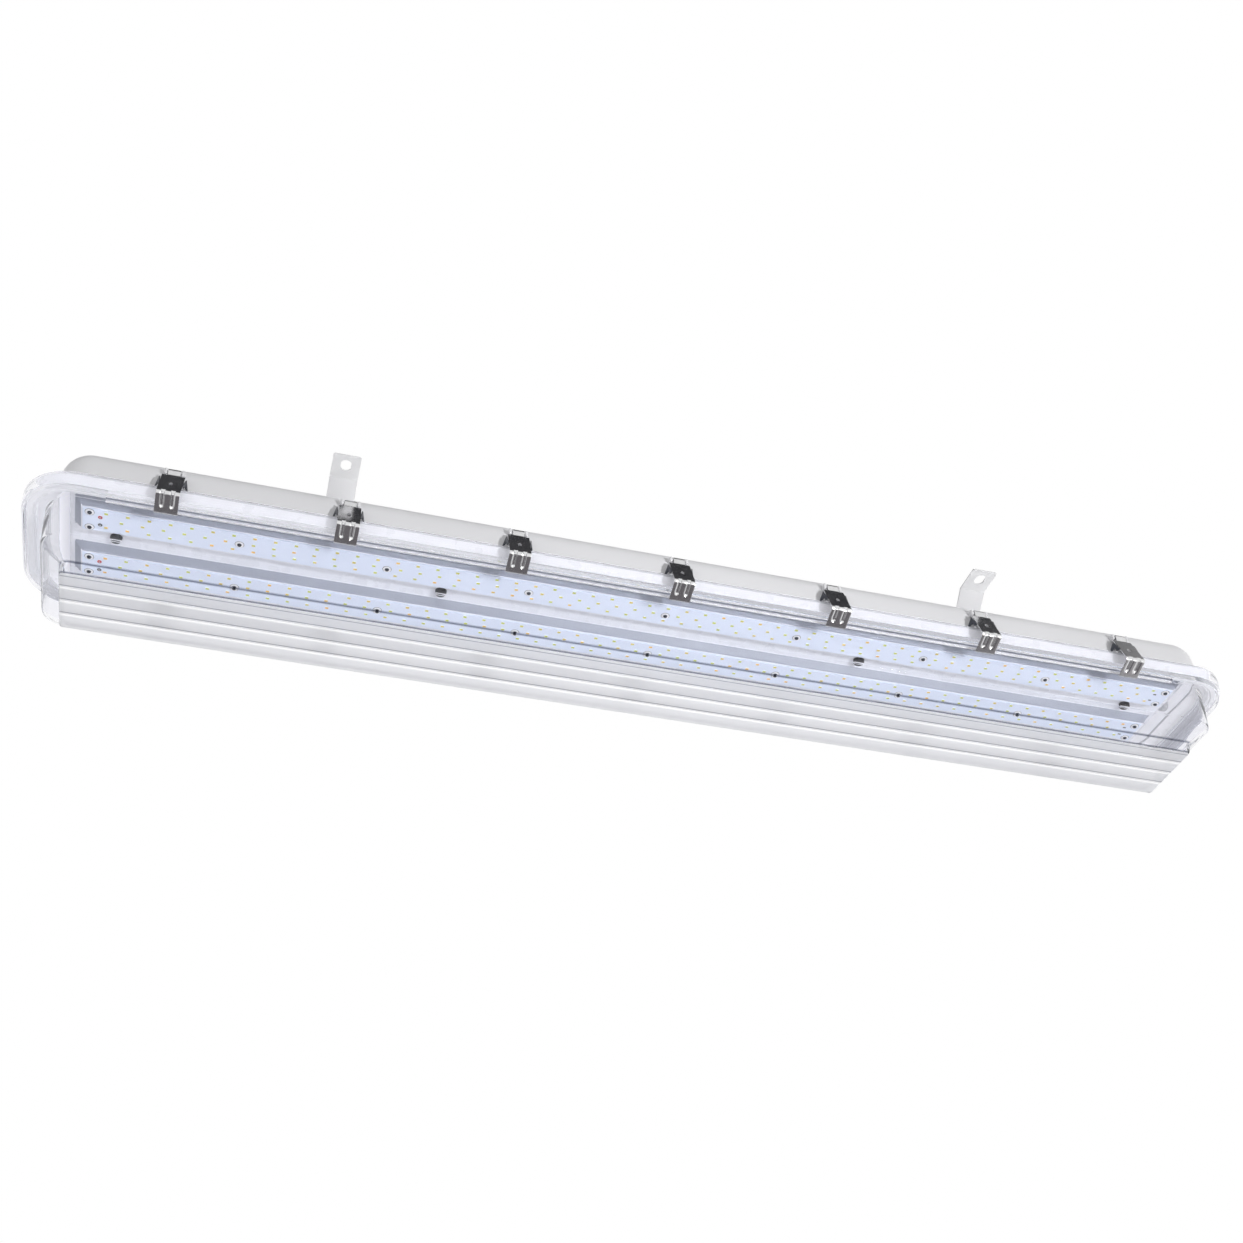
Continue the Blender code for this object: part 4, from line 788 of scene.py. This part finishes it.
def cut_rails(bm):
    """Extrude the bead under each long side out of the flange's underside."""
    cut_across(bm, 0, (-RAIL_END, RAIL_END), on_rail)
    faces = [face for face in bm.faces if on_rail(face)]
    faces = [face for face in faces if all(abs(vert.co.x) < RAIL_END + NEAR for vert in face.verts)]
    made = bmesh.ops.extrude_face_region(bm, geom=faces)["geom"]
    bmesh.ops.delete(bm, geom=faces, context="FACES")
    move(bm, only(BMVert, made), z=-RAIL_DEPTH)
    soften(bm, list({edge for face in only(BMFace, made) for edge in face.edges}), RAIL_ROUNDING)


def cut_grooves(bm, level):
    """Shallow round lines along the lens bottom, that leave flat bands between them."""
    half = sizes().groove_width / 2
    rows = [(centre + place * half, share) for centre in GROOVES for place, share in GROOVE_ROWS]
    cut_across(bm, 1, [y for y, _ in rows], lambda face: at_level(face, level))
    flat = [vert for vert in bm.verts if abs(vert.co.z - level) < WELD]
    for y, share in rows:
        row = [vert for vert in flat if abs(vert.co.y - y) < ROW_REACH]
        move(bm, row, z=share * sizes().groove_depth)


def build_lens():
    outside = profile(FLANGE, SKIRT) + measured(LENS_LEDGE) + lens_walls(0.0)
    inside = profile(FLANGE, FLANGE_INSIDE) + measured(LENS_MOUTH) + lens_walls(sizes().lens_wall)[1:]
    bm = bmesh.new()
    loops = loft(bm, outside[::-1] + inside)
    level = cap(bm, loops[0]).verts[0].co.z
    cap(bm, loops[-1])
    face_out(bm)
    cut_across(bm, 0, (-END_CUT, END_CUT))
    for face in bm.faces:
        face.material_index = int(at_level(face, level))
    cut_grooves(bm, level)
    cut_rails(bm)
    materials = [lens_material(), ribbed_material()]
    add_piece("lens_moulding", bm, materials, ["lens"], smooth=28.0)


# Tray, boards and what they carry

LEVEL_FACE, FOLD_ANGLE = 0.9, 0.2
TRAY_HALF = mm(587, 67.5)
TRAY_LEVEL = JOINT + 5.5 * MM
TRAY_LIP, PAN_DEPTH, PAN_REACH = mm(9, 9.5, 60)
PAN_FLOOR_X, PAN_RIM_X = mm(575.4, 582)
PAN_FLOOR_Y, PAN_RIM_Y = mm(16.6, 49.6), mm(12.8, 53.4)

BOARD_Y, BOARD_ROUNDING = mm(33.1, 0.15)
BOARD_HALF = mm(573.3, 15.4)
BOARD_TOP, BOARD_FACE = JOINT - 4.3 * MM, JOINT - 5.9 * MM
PACKAGE_HALF, PACKAGE_LEVELS = mm(1.75, 1.4), mm(-0.7, 0)
WINDOW_EDGE, WINDOW_DEPTH = mm(0.14, 0.06)
LED_PITCH, LED_ROW, LED_SHIFT, MIDDLE_PITCH, MIDDLE_END = mm(19.7, 10, -2, 19.35, 553)
SCREW_PITCH, END_SCREW_X, END_SCREW_Y = mm(142.5, 566.7, 10.85)
PAD_X, PAD_Y, SOLDER_BELOW = mm(557, 5.5, 0.32)
MARK_HALF = mm(1.8, 0.9)
MARK_LEVELS = (BOARD_FACE - 0.06 * MM, BOARD_FACE + 0.1 * MM)

RETAINER_LEVEL = JOINT + 5.2 * MM
GRIP_HALF, GRIP_ROUNDING = mm(5.4, 1), 0.3 * MM
GRIP_LEVELS = (RETAINER_LEVEL - 5 * MM, RETAINER_LEVEL - 4 * MM)

# Upright rods in mm: both ends from a level, both radii and the rounding, then the faces round
WASHER = (0, -0.5, 4.1, 4.1, 0.15, 24)
SCREW_HEAD = (-0.45, -2.0, 2.3, 1.7, 0.3, 20)
# A black ring a little wider than the washer: painted shadow round its edge
WASHER_SHADOW_RING = (0.1, -0.08, 4.5, 4.5, 0, 24)
PAD = (0, -0.3, 2.1, 2.1, 0, 16)
SOLDER = (-0.2, -0.9, 1.1, 0.7, 0.2, 12)
RETAINER_HEAD = (0, -4.6, 6.0, 5.4, 0.5, 32)
RETAINER_STEM = (-0.5, 17.5, 2.5, 2.5, 0, 16)
STRAP_SCREW_HEAD = (-2.8, 0, 4.2, 3.4, 0.5, 32)


def build_tray():
    """A flat sheet with a pan pressed down for each board and a lip turned up along each side."""
    bm = bmesh.new()
    flat_sheet(bm, *TRAY_HALF, TRAY_LEVEL + sizes().tray_sheet / 2)
    cut_across(bm, 0, (-PAN_RIM_X, -PAN_FLOOR_X, PAN_FLOOR_X, PAN_RIM_X))
    cut_across(bm, 1, [side * y for side in SIDES for y in PAN_FLOOR_Y + PAN_RIM_Y])
    low, high = PAN_FLOOR_Y
    floors = [vert for vert in bm.verts if low - NEAR < abs(vert.co.y) < high + NEAR]
    move(bm, [vert for vert in floors if abs(vert.co.x) < PAN_FLOOR_X + NEAR], z=-PAN_DEPTH)
    sides = [edge for edge in bm.edges if all(abs(vert.co.y) > TRAY_HALF[1] - NEAR for vert in edge.verts)]
    move(bm, only(BMVert, bmesh.ops.extrude_edge_only(bm, edges=sides)["geom"]), z=TRAY_LIP)
    face_out(bm)
    # The pans' walls and ends take the second material, which is painted shade
    for face in bm.faces:
        if abs(face.normal.z) < LEVEL_FACE and abs(face.calc_center_median().y) < PAN_REACH:
            face.material_index = 1
    folds = [edge for edge in bm.edges if len(edge.link_faces) == 2 and edge.calc_face_angle() > FOLD_ANGLE]
    soften(bm, folds, sizes().tray_bend, 3)
    face_out(bm)
    materials = [tray_material(), tray_wall_painted_shade_material()]
    piece = add_piece("gear_tray_sheet", bm, materials, ["gear_tray"])
    sheet_modifier(piece, sizes().tray_sheet)


def led_package():
    """One LED: a white case with a sunk yellow window in its face."""
    bm = bmesh.new()
    slab(bm, 0.0, 0.0, PACKAGE_HALF, PACKAGE_LEVELS)
    face = min(bm.faces, key=lambda item: item.calc_center_median().z)
    bmesh.ops.inset_individual(bm, faces=[face], thickness=WINDOW_EDGE)
    move(bm, face.verts, z=WINDOW_DEPTH)
    face.material_index = 1
    return new_mesh("led package", bm)


def scatter(bm, mesh, places):
    """Copies of one mesh at each of the places."""
    for place in places:
        count = len(bm.verts)
        bm.from_mesh(mesh)
        bm.verts.ensure_lookup_table()
        move(bm, bm.verts[count:], *place)


def led_places():
    """Two outer rows of 57 LEDs, and a middle row of seven between each two screws."""
    places = [(index * LED_PITCH, side * LED_ROW) for side in SIDES for index in range(-28, 29)]
    spans = [(span - 3.5) * SCREW_PITCH for span in range(8)]
    middles = [span + index * MIDDLE_PITCH for span in spans for index in range(-3, 4)]
    return places + [(x, 0.0) for x in middles if abs(x) < MIDDLE_END]


def build_board(name, side):
    """The board with its LEDs, its screws and its solder pads."""
    middle = side * BOARD_Y
    bm = bmesh.new()
    slab(bm, 0.0, middle, BOARD_HALF, (BOARD_FACE, BOARD_TOP), BOARD_ROUNDING)
    add_piece(name + "_panel", bm, [board_material()], [name])
    leds = bmesh.new()
    scatter(leds, led_package(), [(x, middle + LED_SHIFT + y, BOARD_FACE) for x, y in led_places()])
    add_piece(name + "_leds", leds, [white_material(), phosphor_material()])
    heads, washers, marks = bmesh.new(), bmesh.new(), bmesh.new()
    places = [(index * SCREW_PITCH, 0.0) for index in range(-3, 4)]
    places += [(end * END_SCREW_X, row * END_SCREW_Y) for end in SIDES for row in SIDES]
    # Each screw has its washer, its dark head and a ring of painted shadow round the washer
    for x, y in places:
        for target, shape in ((washers, WASHER), (heads, SCREW_HEAD), (marks, WASHER_SHADOW_RING)):
            stud(target, x, middle + y, BOARD_FACE, shape)
    add_piece(name + "_screws", heads, [dark_steel_material()])
    add_piece(name + "_washers", washers, [white_material()])
    for colour, material, row in (("red", red_material(), -1), ("black", black_material(), 1)):
        pads = bmesh.new()
        for shape in (PAD, SOLDER):
            stud(pads, -PAD_X, middle + row * PAD_Y, BOARD_FACE, shape)
        for face in pads.faces:
            face.material_index = int(face.calc_center_median().z < BOARD_FACE - SOLDER_BELOW)
        add_piece("%s_%s_pad" % (name, colour), pads, [material, solder_material()])
        slab(marks, PAD_X, middle + row * PAD_Y, MARK_HALF, MARK_LEVELS)
    add_piece(name + "_marks", marks, [black_material()])


def build_retainer(index, x):
    """A dark quarter turn head with a white grip across it."""
    body = "retainer_%d_body" % index
    bm = bmesh.new()
    for shape in (RETAINER_HEAD, RETAINER_STEM):
        stud(bm, x, 0.0, RETAINER_LEVEL, shape)
    add_piece("retainer_%d_head" % index, bm, [dark_material()], ["retainer_%d" % index], body)
    bm = bmesh.new()
    slab(bm, x, 0.0, GRIP_HALF, GRIP_LEVELS, GRIP_ROUNDING, 2)
    add_piece("retainer_%d_grip" % index, bm, [white_material()], body=body)


# Sheet metal outside

# The latch sheet's middle line in mm from its hinge axis, as (outward, up), from lip to curl
LATCH_CORNERS = ((-5.2, -48.0), (-3.6, -49.8), (17.9, -42.4), (2.3, -6.6), (2.1, 0.0))
LATCH_BENDS = ((0.8, 3), (3.2, 6), (2.6, 3))
CURL_RADIUS, CURL_TURN, CURL_STEPS = 2.1, 290.0, 14
ROW_SPACING = 1.3
LATCH_EDGE, COLUMN_SPACING, COLUMNS = -10.75, 0.8269, 27
TONGUE_HALF, PLATE_TOP = 6.3, -7.0
HOLE_PLACE, HOLE_RADIUS, HOLE_STRETCH = 42.0, 1.6, 1.6
PRESS_FIRST, PRESS_LAST, PRESS_X, PRESS_HALF, PRESS_SLOPE = 11.0, 26.0, 4.6, 2.4, 1.3
CHEEK_HIGH, CHEEK_LOW, CHEEK_FOOT = Vector((4.05, -11.0)), Vector((10.9, -25.4)), Vector((-1.1, -20.0))
CHEEK_PLATE, CHEEK_X, CHEEK_SPREAD = 7.4, 10.4, 4.5
EYE_PLACE, EYE_RADIUS, EYE_STEPS = 4.6, 2.1, 8
LATCH_ROUNDING, STRAP_ROUNDING, GLAND_ROUNDING = mm(0.14, 0.3, 0.5)
EARS_OVER = 20 * MM
SHANK_RADIUS, SHANK_LAP, HEAD_DEPTH, RECESS_EDGE, RECESS_DEPTH = mm(2, 0.3, 2.8, 1.5, 1)


def bend(before, corner, after, radius, steps):
    """Points round one bend of a folded line."""
    back, on = (before - corner).normalized(), (after - corner).normalized()
    half = back.angle(on) / 2
    reach = radius / math.tan(half)
    centre = corner + (back + on).normalized() * radius / math.sin(half)
    first, last = corner + back * reach - centre, corner + on * reach - centre
    turn = first.angle_signed(last)
    return [centre + Matrix.Rotation(-turn * step / steps, 2) @ first for step in range(steps + 1)]


def latch_path():
    """The latch sheet's middle line as evenly spaced points."""
    corners = [Vector(corner) for corner in LATCH_CORNERS]
    path = corners[:1]
    for before, corner, after, (radius, steps) in zip(corners, corners[1:], corners[2:], LATCH_BENDS):
        path += bend(before, corner, after, radius, steps)
    path.append(corners[-1])
    for step in range(1, CURL_STEPS + 1):
        angle = math.radians(CURL_TURN * step / CURL_STEPS)
        path.append(Vector((CURL_RADIUS * math.cos(angle), CURL_RADIUS * math.sin(angle))))
    spaced = path[:1]
    for point in path[1:]:
        start = spaced[-1]
        pieces = max(1, round((point - start).length / ROW_SPACING))
        spaced += [start.lerp(point, (piece + 1) / pieces) for piece in range(pieces)]
    return spaced


def pressed(distance, x):
    """How deep the two grooves are at a place: 1 on their floor, 0 outside them."""
    along = max(PRESS_FIRST - distance, 0.0, distance - PRESS_LAST)
    off = math.hypot(along, abs(abs(x) - PRESS_X))
    share = min(1.0, max(0.0, (PRESS_HALF - off) / PRESS_SLOPE))
    return share * share * (3 - 2 * share)


def in_hole(face, places):
    """Whether the middle of a face lies in the plate's small hole."""
    along, x = (sum(places[vert][axis] for vert in face.verts) / 4 for axis in (0, 1))
    return math.hypot((along - HOLE_PLACE) / HOLE_STRETCH, x) < HOLE_RADIUS


def latch_mesh():
    """A latch folded from sheet: lip, leg, bend, grooved plate, tongue and the curl on the hinge bar."""
    path = latch_path()
    bm = bmesh.new()
    columns = [LATCH_EDGE + COLUMN_SPACING * index for index in range(COLUMNS)]
    row = [bm.verts.new((x * MM, -path[0].x * MM, path[0].y * MM)) for x in columns]
    edges = [bm.edges.new(pair) for pair in zip(row, row[1:])]
    distance = 0.0
    places = {vert: (0.0, vert.co.x / MM, 0) for vert in row}
    for index in range(1, len(path)):
        step = path[index] - path[index - 1]
        distance += step.length
        if path[index - 1].y > PLATE_TOP:
            edges = [edge for edge in edges if all(abs(vert.co.x) < TONGUE_HALF * MM for vert in edge.verts)]
        made = bmesh.ops.extrude_edge_only(bm, edges=edges)["geom"]
        verts = only(BMVert, made)
        move(bm, verts, y=-step.x * MM, z=step.y * MM)
        edges = [edge for edge in only(BMEdge, made) if all(vert in verts for vert in edge.verts)]
        for vert in verts:
            places[vert] = (distance, vert.co.x / MM, index)
    pierced = [face for face in bm.faces if in_hole(face, places)]
    bmesh.ops.delete(bm, geom=pierced, context="FACES")
    for vert, (along, x, index) in places.items():
        if vert.is_valid:
            run = (path[min(index + 1, len(path) - 1)] - path[max(index - 1, 0)]).normalized()
            inward = Vector((-run.y, run.x)) * (pressed(along, x) * sizes().press_depth)
            vert.co += Vector((0, -inward.x, inward.y))
    face_out(bm)
    add_cheeks(bm)
    return new_mesh("latch sheet", bm)


def add_cheeks(bm):
    """The cheek folded back from each side of the plate, with a half round eye in its foot."""
    along = (CHEEK_LOW - CHEEK_FOOT).normalized()
    rise = Vector((-along.y, along.x))
    outline = [CHEEK_HIGH, CHEEK_FOOT]
    for step in range(EYE_STEPS + 1):
        angle = math.pi * step / EYE_STEPS
        middle = CHEEK_FOOT + along * (EYE_PLACE - EYE_RADIUS * math.cos(angle))
        outline.append(middle + rise * EYE_RADIUS * math.sin(angle))
    outline.append(CHEEK_LOW)
    for side in SIDES:
        verts = []
        for point in outline:
            depth = max(0.0, (CHEEK_PLATE - point.x) / (CHEEK_PLATE - CHEEK_FOOT.x))
            x = side * (CHEEK_X + CHEEK_SPREAD * depth)
            verts.append(bm.verts.new((x * MM, -point.x * MM, point.y * MM)))
        bm.faces.new(verts[::side]).material_index = 1


def build_latches():
    mesh = latch_mesh()
    for label, side in (("near", -1), ("far", 1)):
        for index, x in enumerate(latch_xs()):
            bm = bmesh.new()
            bm.from_mesh(mesh)
            turn = Matrix.Rotation(0.0 if side < 0 else math.pi, 4, "Z")
            place = Matrix.Translation((x, side * HINGE_Y, HINGE_Z))
            bmesh.ops.transform(bm, matrix=place @ turn, verts=bm.verts)
            name = "latch_%s_%d" % (label, index + 1)
            materials = [steel_material(), dark_steel_material()]
            piece = add_piece(name + "_sheet", bm, materials, [name], name + "_body")
            sheet_modifier(piece, sizes().latch_sheet)
            bevel_modifier(piece, LATCH_ROUNDING, 50.0)
    bpy.data.meshes.remove(mesh)


def build_strap(node):
    """The strap's own sheet, with painted light on the level faces of its ears: a paler copy of its coat."""
    bm = node_copy(node)
    # The ears' level faces take the paler material, which is painted light
    for face in bm.faces:
        face.material_index = int(abs(face.normal.z) > LEVEL_FACE and face.calc_center_median().z > EARS_OVER)
    piece = add_piece(node + "_sheet", bm, [strap_material(), strap_ear_painted_light_material()], [node])
    bevel_modifier(piece, STRAP_ROUNDING, 40.0)


def build_strap_screw(node):
    """A round head with a sunk recess, on its shank."""
    low, high = (Vector(corner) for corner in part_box(node))
    x, y, _ = (low + high) / 2
    bm = bmesh.new()
    stud(bm, x, y, high.z, STRAP_SCREW_HEAD)
    rod(bm, SHANK_RADIUS, (x, y, low.z), (x, y, high.z - HEAD_DEPTH + SHANK_LAP), 16)
    faces = [face for face in bm.faces if len(face.verts) > 20 and at_level(face, high.z, NEAR)]
    bmesh.ops.inset_region(bm, faces=faces, thickness=RECESS_EDGE, depth=0.0)
    move(bm, list({vert for face in faces for vert in face.verts}), z=-RECESS_DEPTH)
    add_piece(node + "_head", bm, [screw_material()], [node])


def build_straps():
    for node in ("strap_left", "strap_right"):
        build_strap(node)
    for node in [name for name in frame["nodes"] if name.startswith("strap_screw")]:
        build_strap_screw(node)


def build_inside():
    """Finish the driver, terminals, leads and gland, whose solids stay."""
    dress_node("led_driver", driver_material())
    dress_node("terminal_block", terminal_material())
    for lead in ("lead_near_", "lead_far_", "supply_lead_"):
        dress_node(lead + "red", red_material())
        dress_node(lead + "black", black_material())
    for node in ("gland_body", "gland_nut"):
        piece = add_piece(node + "_moulding", node_copy(node), [gland_material()], [node])
        bevel_modifier(piece, GLAND_ROUNDING, 40.0)


# Stage

FLOOR_HALF, FLOOR_LEVEL = 150.0, -2.2
# Each lamp's place, target, size in m and power in W
KEY_LAMP = ((1.8, -3.4, -1.95), (0, 0, -0.05), (0.18, 0.18), 8.8)
LEFT_LAMP = ((-3.2, -2.6, -0.9), (-0.3, 0, -0.05), (1.6, 1.6), 15.0)
LOW_LAMP = ((-0.4, -0.2, -1.9), (-0.1, 0, -0.05), (3.0, 1.6), 8.0)
KEY_SPREAD = 50.0
# Between which heights of a ray, from -1 down to 1 up, the surround changes, and its strength at both
SURROUND = (0.70, 0.85, 0.36, 1.7)
CEILING, GROUND = (0.72, 0.90), (-0.70, -0.90)
CAMERA_PLACE = (-0.3754, -1.1976, -1.0573)
CAMERA_AXES = ((0.9644, -0.2641, -0.0098), (-0.1596, -0.6117, 0.7748), (-0.2107, -0.7457, -0.6321))
CAMERA_LENS, CAMERA_SENSOR, CAMERA_REACH = 44.9, 36.0, 100.0
SEEN_IN_GLASS = (0.80, 0.81, 0.84)
MIRRORED_CEILING, MIRRORED_GROUND = (0.02, 0.02, 0.024), (0.17, 0.16, 0.17)


def stage_floor():
    bm = bmesh.new()
    flat_sheet(bm, FLOOR_HALF, FLOOR_HALF, FLOOR_LEVEL)
    mesh = new_mesh("studio floor", bm)
    made, tree, shader = new_material("studio_floor")
    fill(tree, shader, {"Base Color": (0.9, 0.9, 0.9, 1.0), "Roughness": 0.9})
    mesh.materials.append(made)
    floor = add_object("studio_floor", mesh)
    floor.visible_diffuse = False
    floor.visible_glossy = False


def background(tree, colour, strength=1.0):
    values = {"Color": colour, "Strength": strength}
    return add_node(tree, "ShaderNodeBackground", values)["Background"]


def stage_world():
    """An even pale surround: white to the camera, glass and metal, with a dark ceiling for metal alone."""
    world = bpy.data.worlds.new("studio")
    bpy.context.scene.world = world
    world.use_nodes = True
    tree = world.node_tree
    place = add_node(tree, "ShaderNodeTexCoord", {})["Generated"]
    height = add_node(tree, "ShaderNodeSeparateXYZ", {"Vector": place})["Z"]
    path = add_node(tree, "ShaderNodeLightPath", {})
    white = (*WHITE, 1.0)
    light = background(tree, white, spread(tree, height, *SURROUND))
    high = spread(tree, height, *CEILING, 0.0, 1.0)
    low = spread(tree, height, *GROUND, 0.0, 1.0)
    sides = blend(tree, low, WHITE, MIRRORED_GROUND)
    round_metal = blend(tree, high, sides, MIRRORED_CEILING)
    in_glass = maths(tree, "GREATER_THAN", path["Transmission Depth"], 0.5)
    shown = background(tree, blend(tree, in_glass, round_metal, SEEN_IN_GLASS))
    mirrored = mix_shaders(tree, path["Is Glossy Ray"], light, shown)
    straight = maths(tree, "MAXIMUM", path["Is Camera Ray"], path["Is Transmission Ray"])
    unscattered = maths(tree, "LESS_THAN", path["Diffuse Depth"], 0.5)
    direct = maths(tree, "MULTIPLY", straight, unscattered)
    surface = mix_shaders(tree, direct, mirrored, background(tree, white))
    fill(tree, tree.nodes["World Output"], {"Surface": surface})


def stage_lamp(name, place, target, size, power):
    data = bpy.data.lights.new(name, "AREA")
    data.shape = "RECTANGLE"
    data.size, data.size_y = size
    data.energy = power
    lamp = add_object(name, data)
    lamp.location = place
    aim = Vector(target) - Vector(place)
    lamp.rotation_euler = aim.to_track_quat("-Z", "Y").to_euler()
    lamp.visible_camera = False
    return lamp


def stage_camera():
    data = bpy.data.cameras.new("camera")
    data.lens = CAMERA_LENS
    data.sensor_width = CAMERA_SENSOR
    data.clip_end = CAMERA_REACH
    camera = add_object("camera", data)
    turn = Matrix(CAMERA_AXES).transposed()
    camera.matrix_world = Matrix.Translation(CAMERA_PLACE) @ turn.to_4x4()
    bpy.context.scene.camera = camera


def build_stage():
    bpy.context.scene.view_settings.view_transform = "Standard"
    stage_floor()
    stage_world()
    stage_lamp("key", *KEY_LAMP).data.spread = math.radians(KEY_SPREAD)
    stage_lamp("left", *LEFT_LAMP).visible_glossy = False
    stage_lamp("below", *LOW_LAMP).visible_glossy = False
    stage_camera()


# Operators and panel


class FIXTURE_OT_canopy(Operator):
    """Mould the canopy with its rim and latch lugs"""

    bl_idname = "fixture.canopy"
    bl_label = "Canopy"

    def execute(self, context):
        build_canopy()
        return {"FINISHED"}


class FIXTURE_OT_gasket(Operator):
    """Lay the silicone gasket in the canopy's rim"""

    bl_idname = "fixture.gasket"
    bl_label = "Gasket"

    def execute(self, context):
        build_gasket()
        return {"FINISHED"}


class FIXTURE_OT_lens(Operator):
    """Mould the clear lens with its skirt, beads and grooves"""

    bl_idname = "fixture.lens"
    bl_label = "Lens"

    def execute(self, context):
        build_lens()
        return {"FINISHED"}


class FIXTURE_OT_tray(Operator):
    """Fold the gear tray"""

    bl_idname = "fixture.tray"
    bl_label = "Gear Tray"

    def execute(self, context):
        build_tray()
        return {"FINISHED"}


class FIXTURE_OT_boards(Operator):
    """Set both LED boards with their packages, screws and pads"""

    bl_idname = "fixture.boards"
    bl_label = "LED Boards"

    def execute(self, context):
        build_board("led_board_near", -1)
        build_board("led_board_far", 1)
        return {"FINISHED"}


class FIXTURE_OT_retainers(Operator):
    """Fit the quarter turn retainers of the tray"""

    bl_idname = "fixture.retainers"
    bl_label = "Retainers"

    def execute(self, context):
        for name, x in joint_xs("retainer").items():
            build_retainer(int(name.split("_")[1]), x)
        return {"FINISHED"}


class FIXTURE_OT_latches(Operator):
    """Fold the stainless latches of both long sides"""

    bl_idname = "fixture.latches"
    bl_label = "Latches"

    def execute(self, context):
        build_latches()
        return {"FINISHED"}


class FIXTURE_OT_straps(Operator):
    """Finish the hanging straps and their screws"""

    bl_idname = "fixture.straps"
    bl_label = "Straps"

    def execute(self, context):
        build_straps()
        return {"FINISHED"}


class FIXTURE_OT_inside(Operator):
    """Finish the driver, terminals, leads and cable gland"""

    bl_idname = "fixture.inside"
    bl_label = "Driver and Wiring"

    def execute(self, context):
        build_inside()
        return {"FINISHED"}


class FIXTURE_OT_stage(Operator):
    """Set the studio floor, surround, lamps and camera"""

    bl_idname = "fixture.stage"
    bl_label = "Stage"

    def execute(self, context):
        build_stage()
        return {"FINISHED"}


class FIXTURE_PT_panel(Panel):
    """Lists the fixture's operators and sizes"""

    bl_idname = "FIXTURE_PT_panel"
    bl_label = "Vapor Tight Fixture"
    bl_space_type = "VIEW_3D"
    bl_region_type = "UI"
    bl_category = "Fixture"

    def draw(self, context):
        layout = self.layout
        for operator in OPERATORS:
            layout.operator(operator.bl_idname)
        for group in (context.scene.fixture_sizes, context.scene.fixture_colours):
            box = layout.box()
            for name in group.bl_rna.properties.keys():
                if name not in ("rna_type", "name"):
                    box.prop(group, name)


OPERATORS = (
    FIXTURE_OT_canopy,
    FIXTURE_OT_gasket,
    FIXTURE_OT_lens,
    FIXTURE_OT_tray,
    FIXTURE_OT_boards,
    FIXTURE_OT_retainers,
    FIXTURE_OT_latches,
    FIXTURE_OT_straps,
    FIXTURE_OT_inside,
    FIXTURE_OT_stage,
)
CLASSES = (FixtureSizes, FixtureColours) + OPERATORS + (FIXTURE_PT_panel,)


def register():
    for item in CLASSES:
        bpy.utils.register_class(item)
    Scene.fixture_sizes = PointerProperty(type=FixtureSizes)
    Scene.fixture_colours = PointerProperty(type=FixtureColours)


def unregister():
    del Scene.fixture_colours
    del Scene.fixture_sizes
    for item in reversed(CLASSES):
        bpy.utils.unregister_class(item)


def main():
    register()
    for operator in OPERATORS:
        getattr(bpy.ops.fixture, operator.bl_idname.split(".")[1])()


if __name__ == "__main__":
    main()
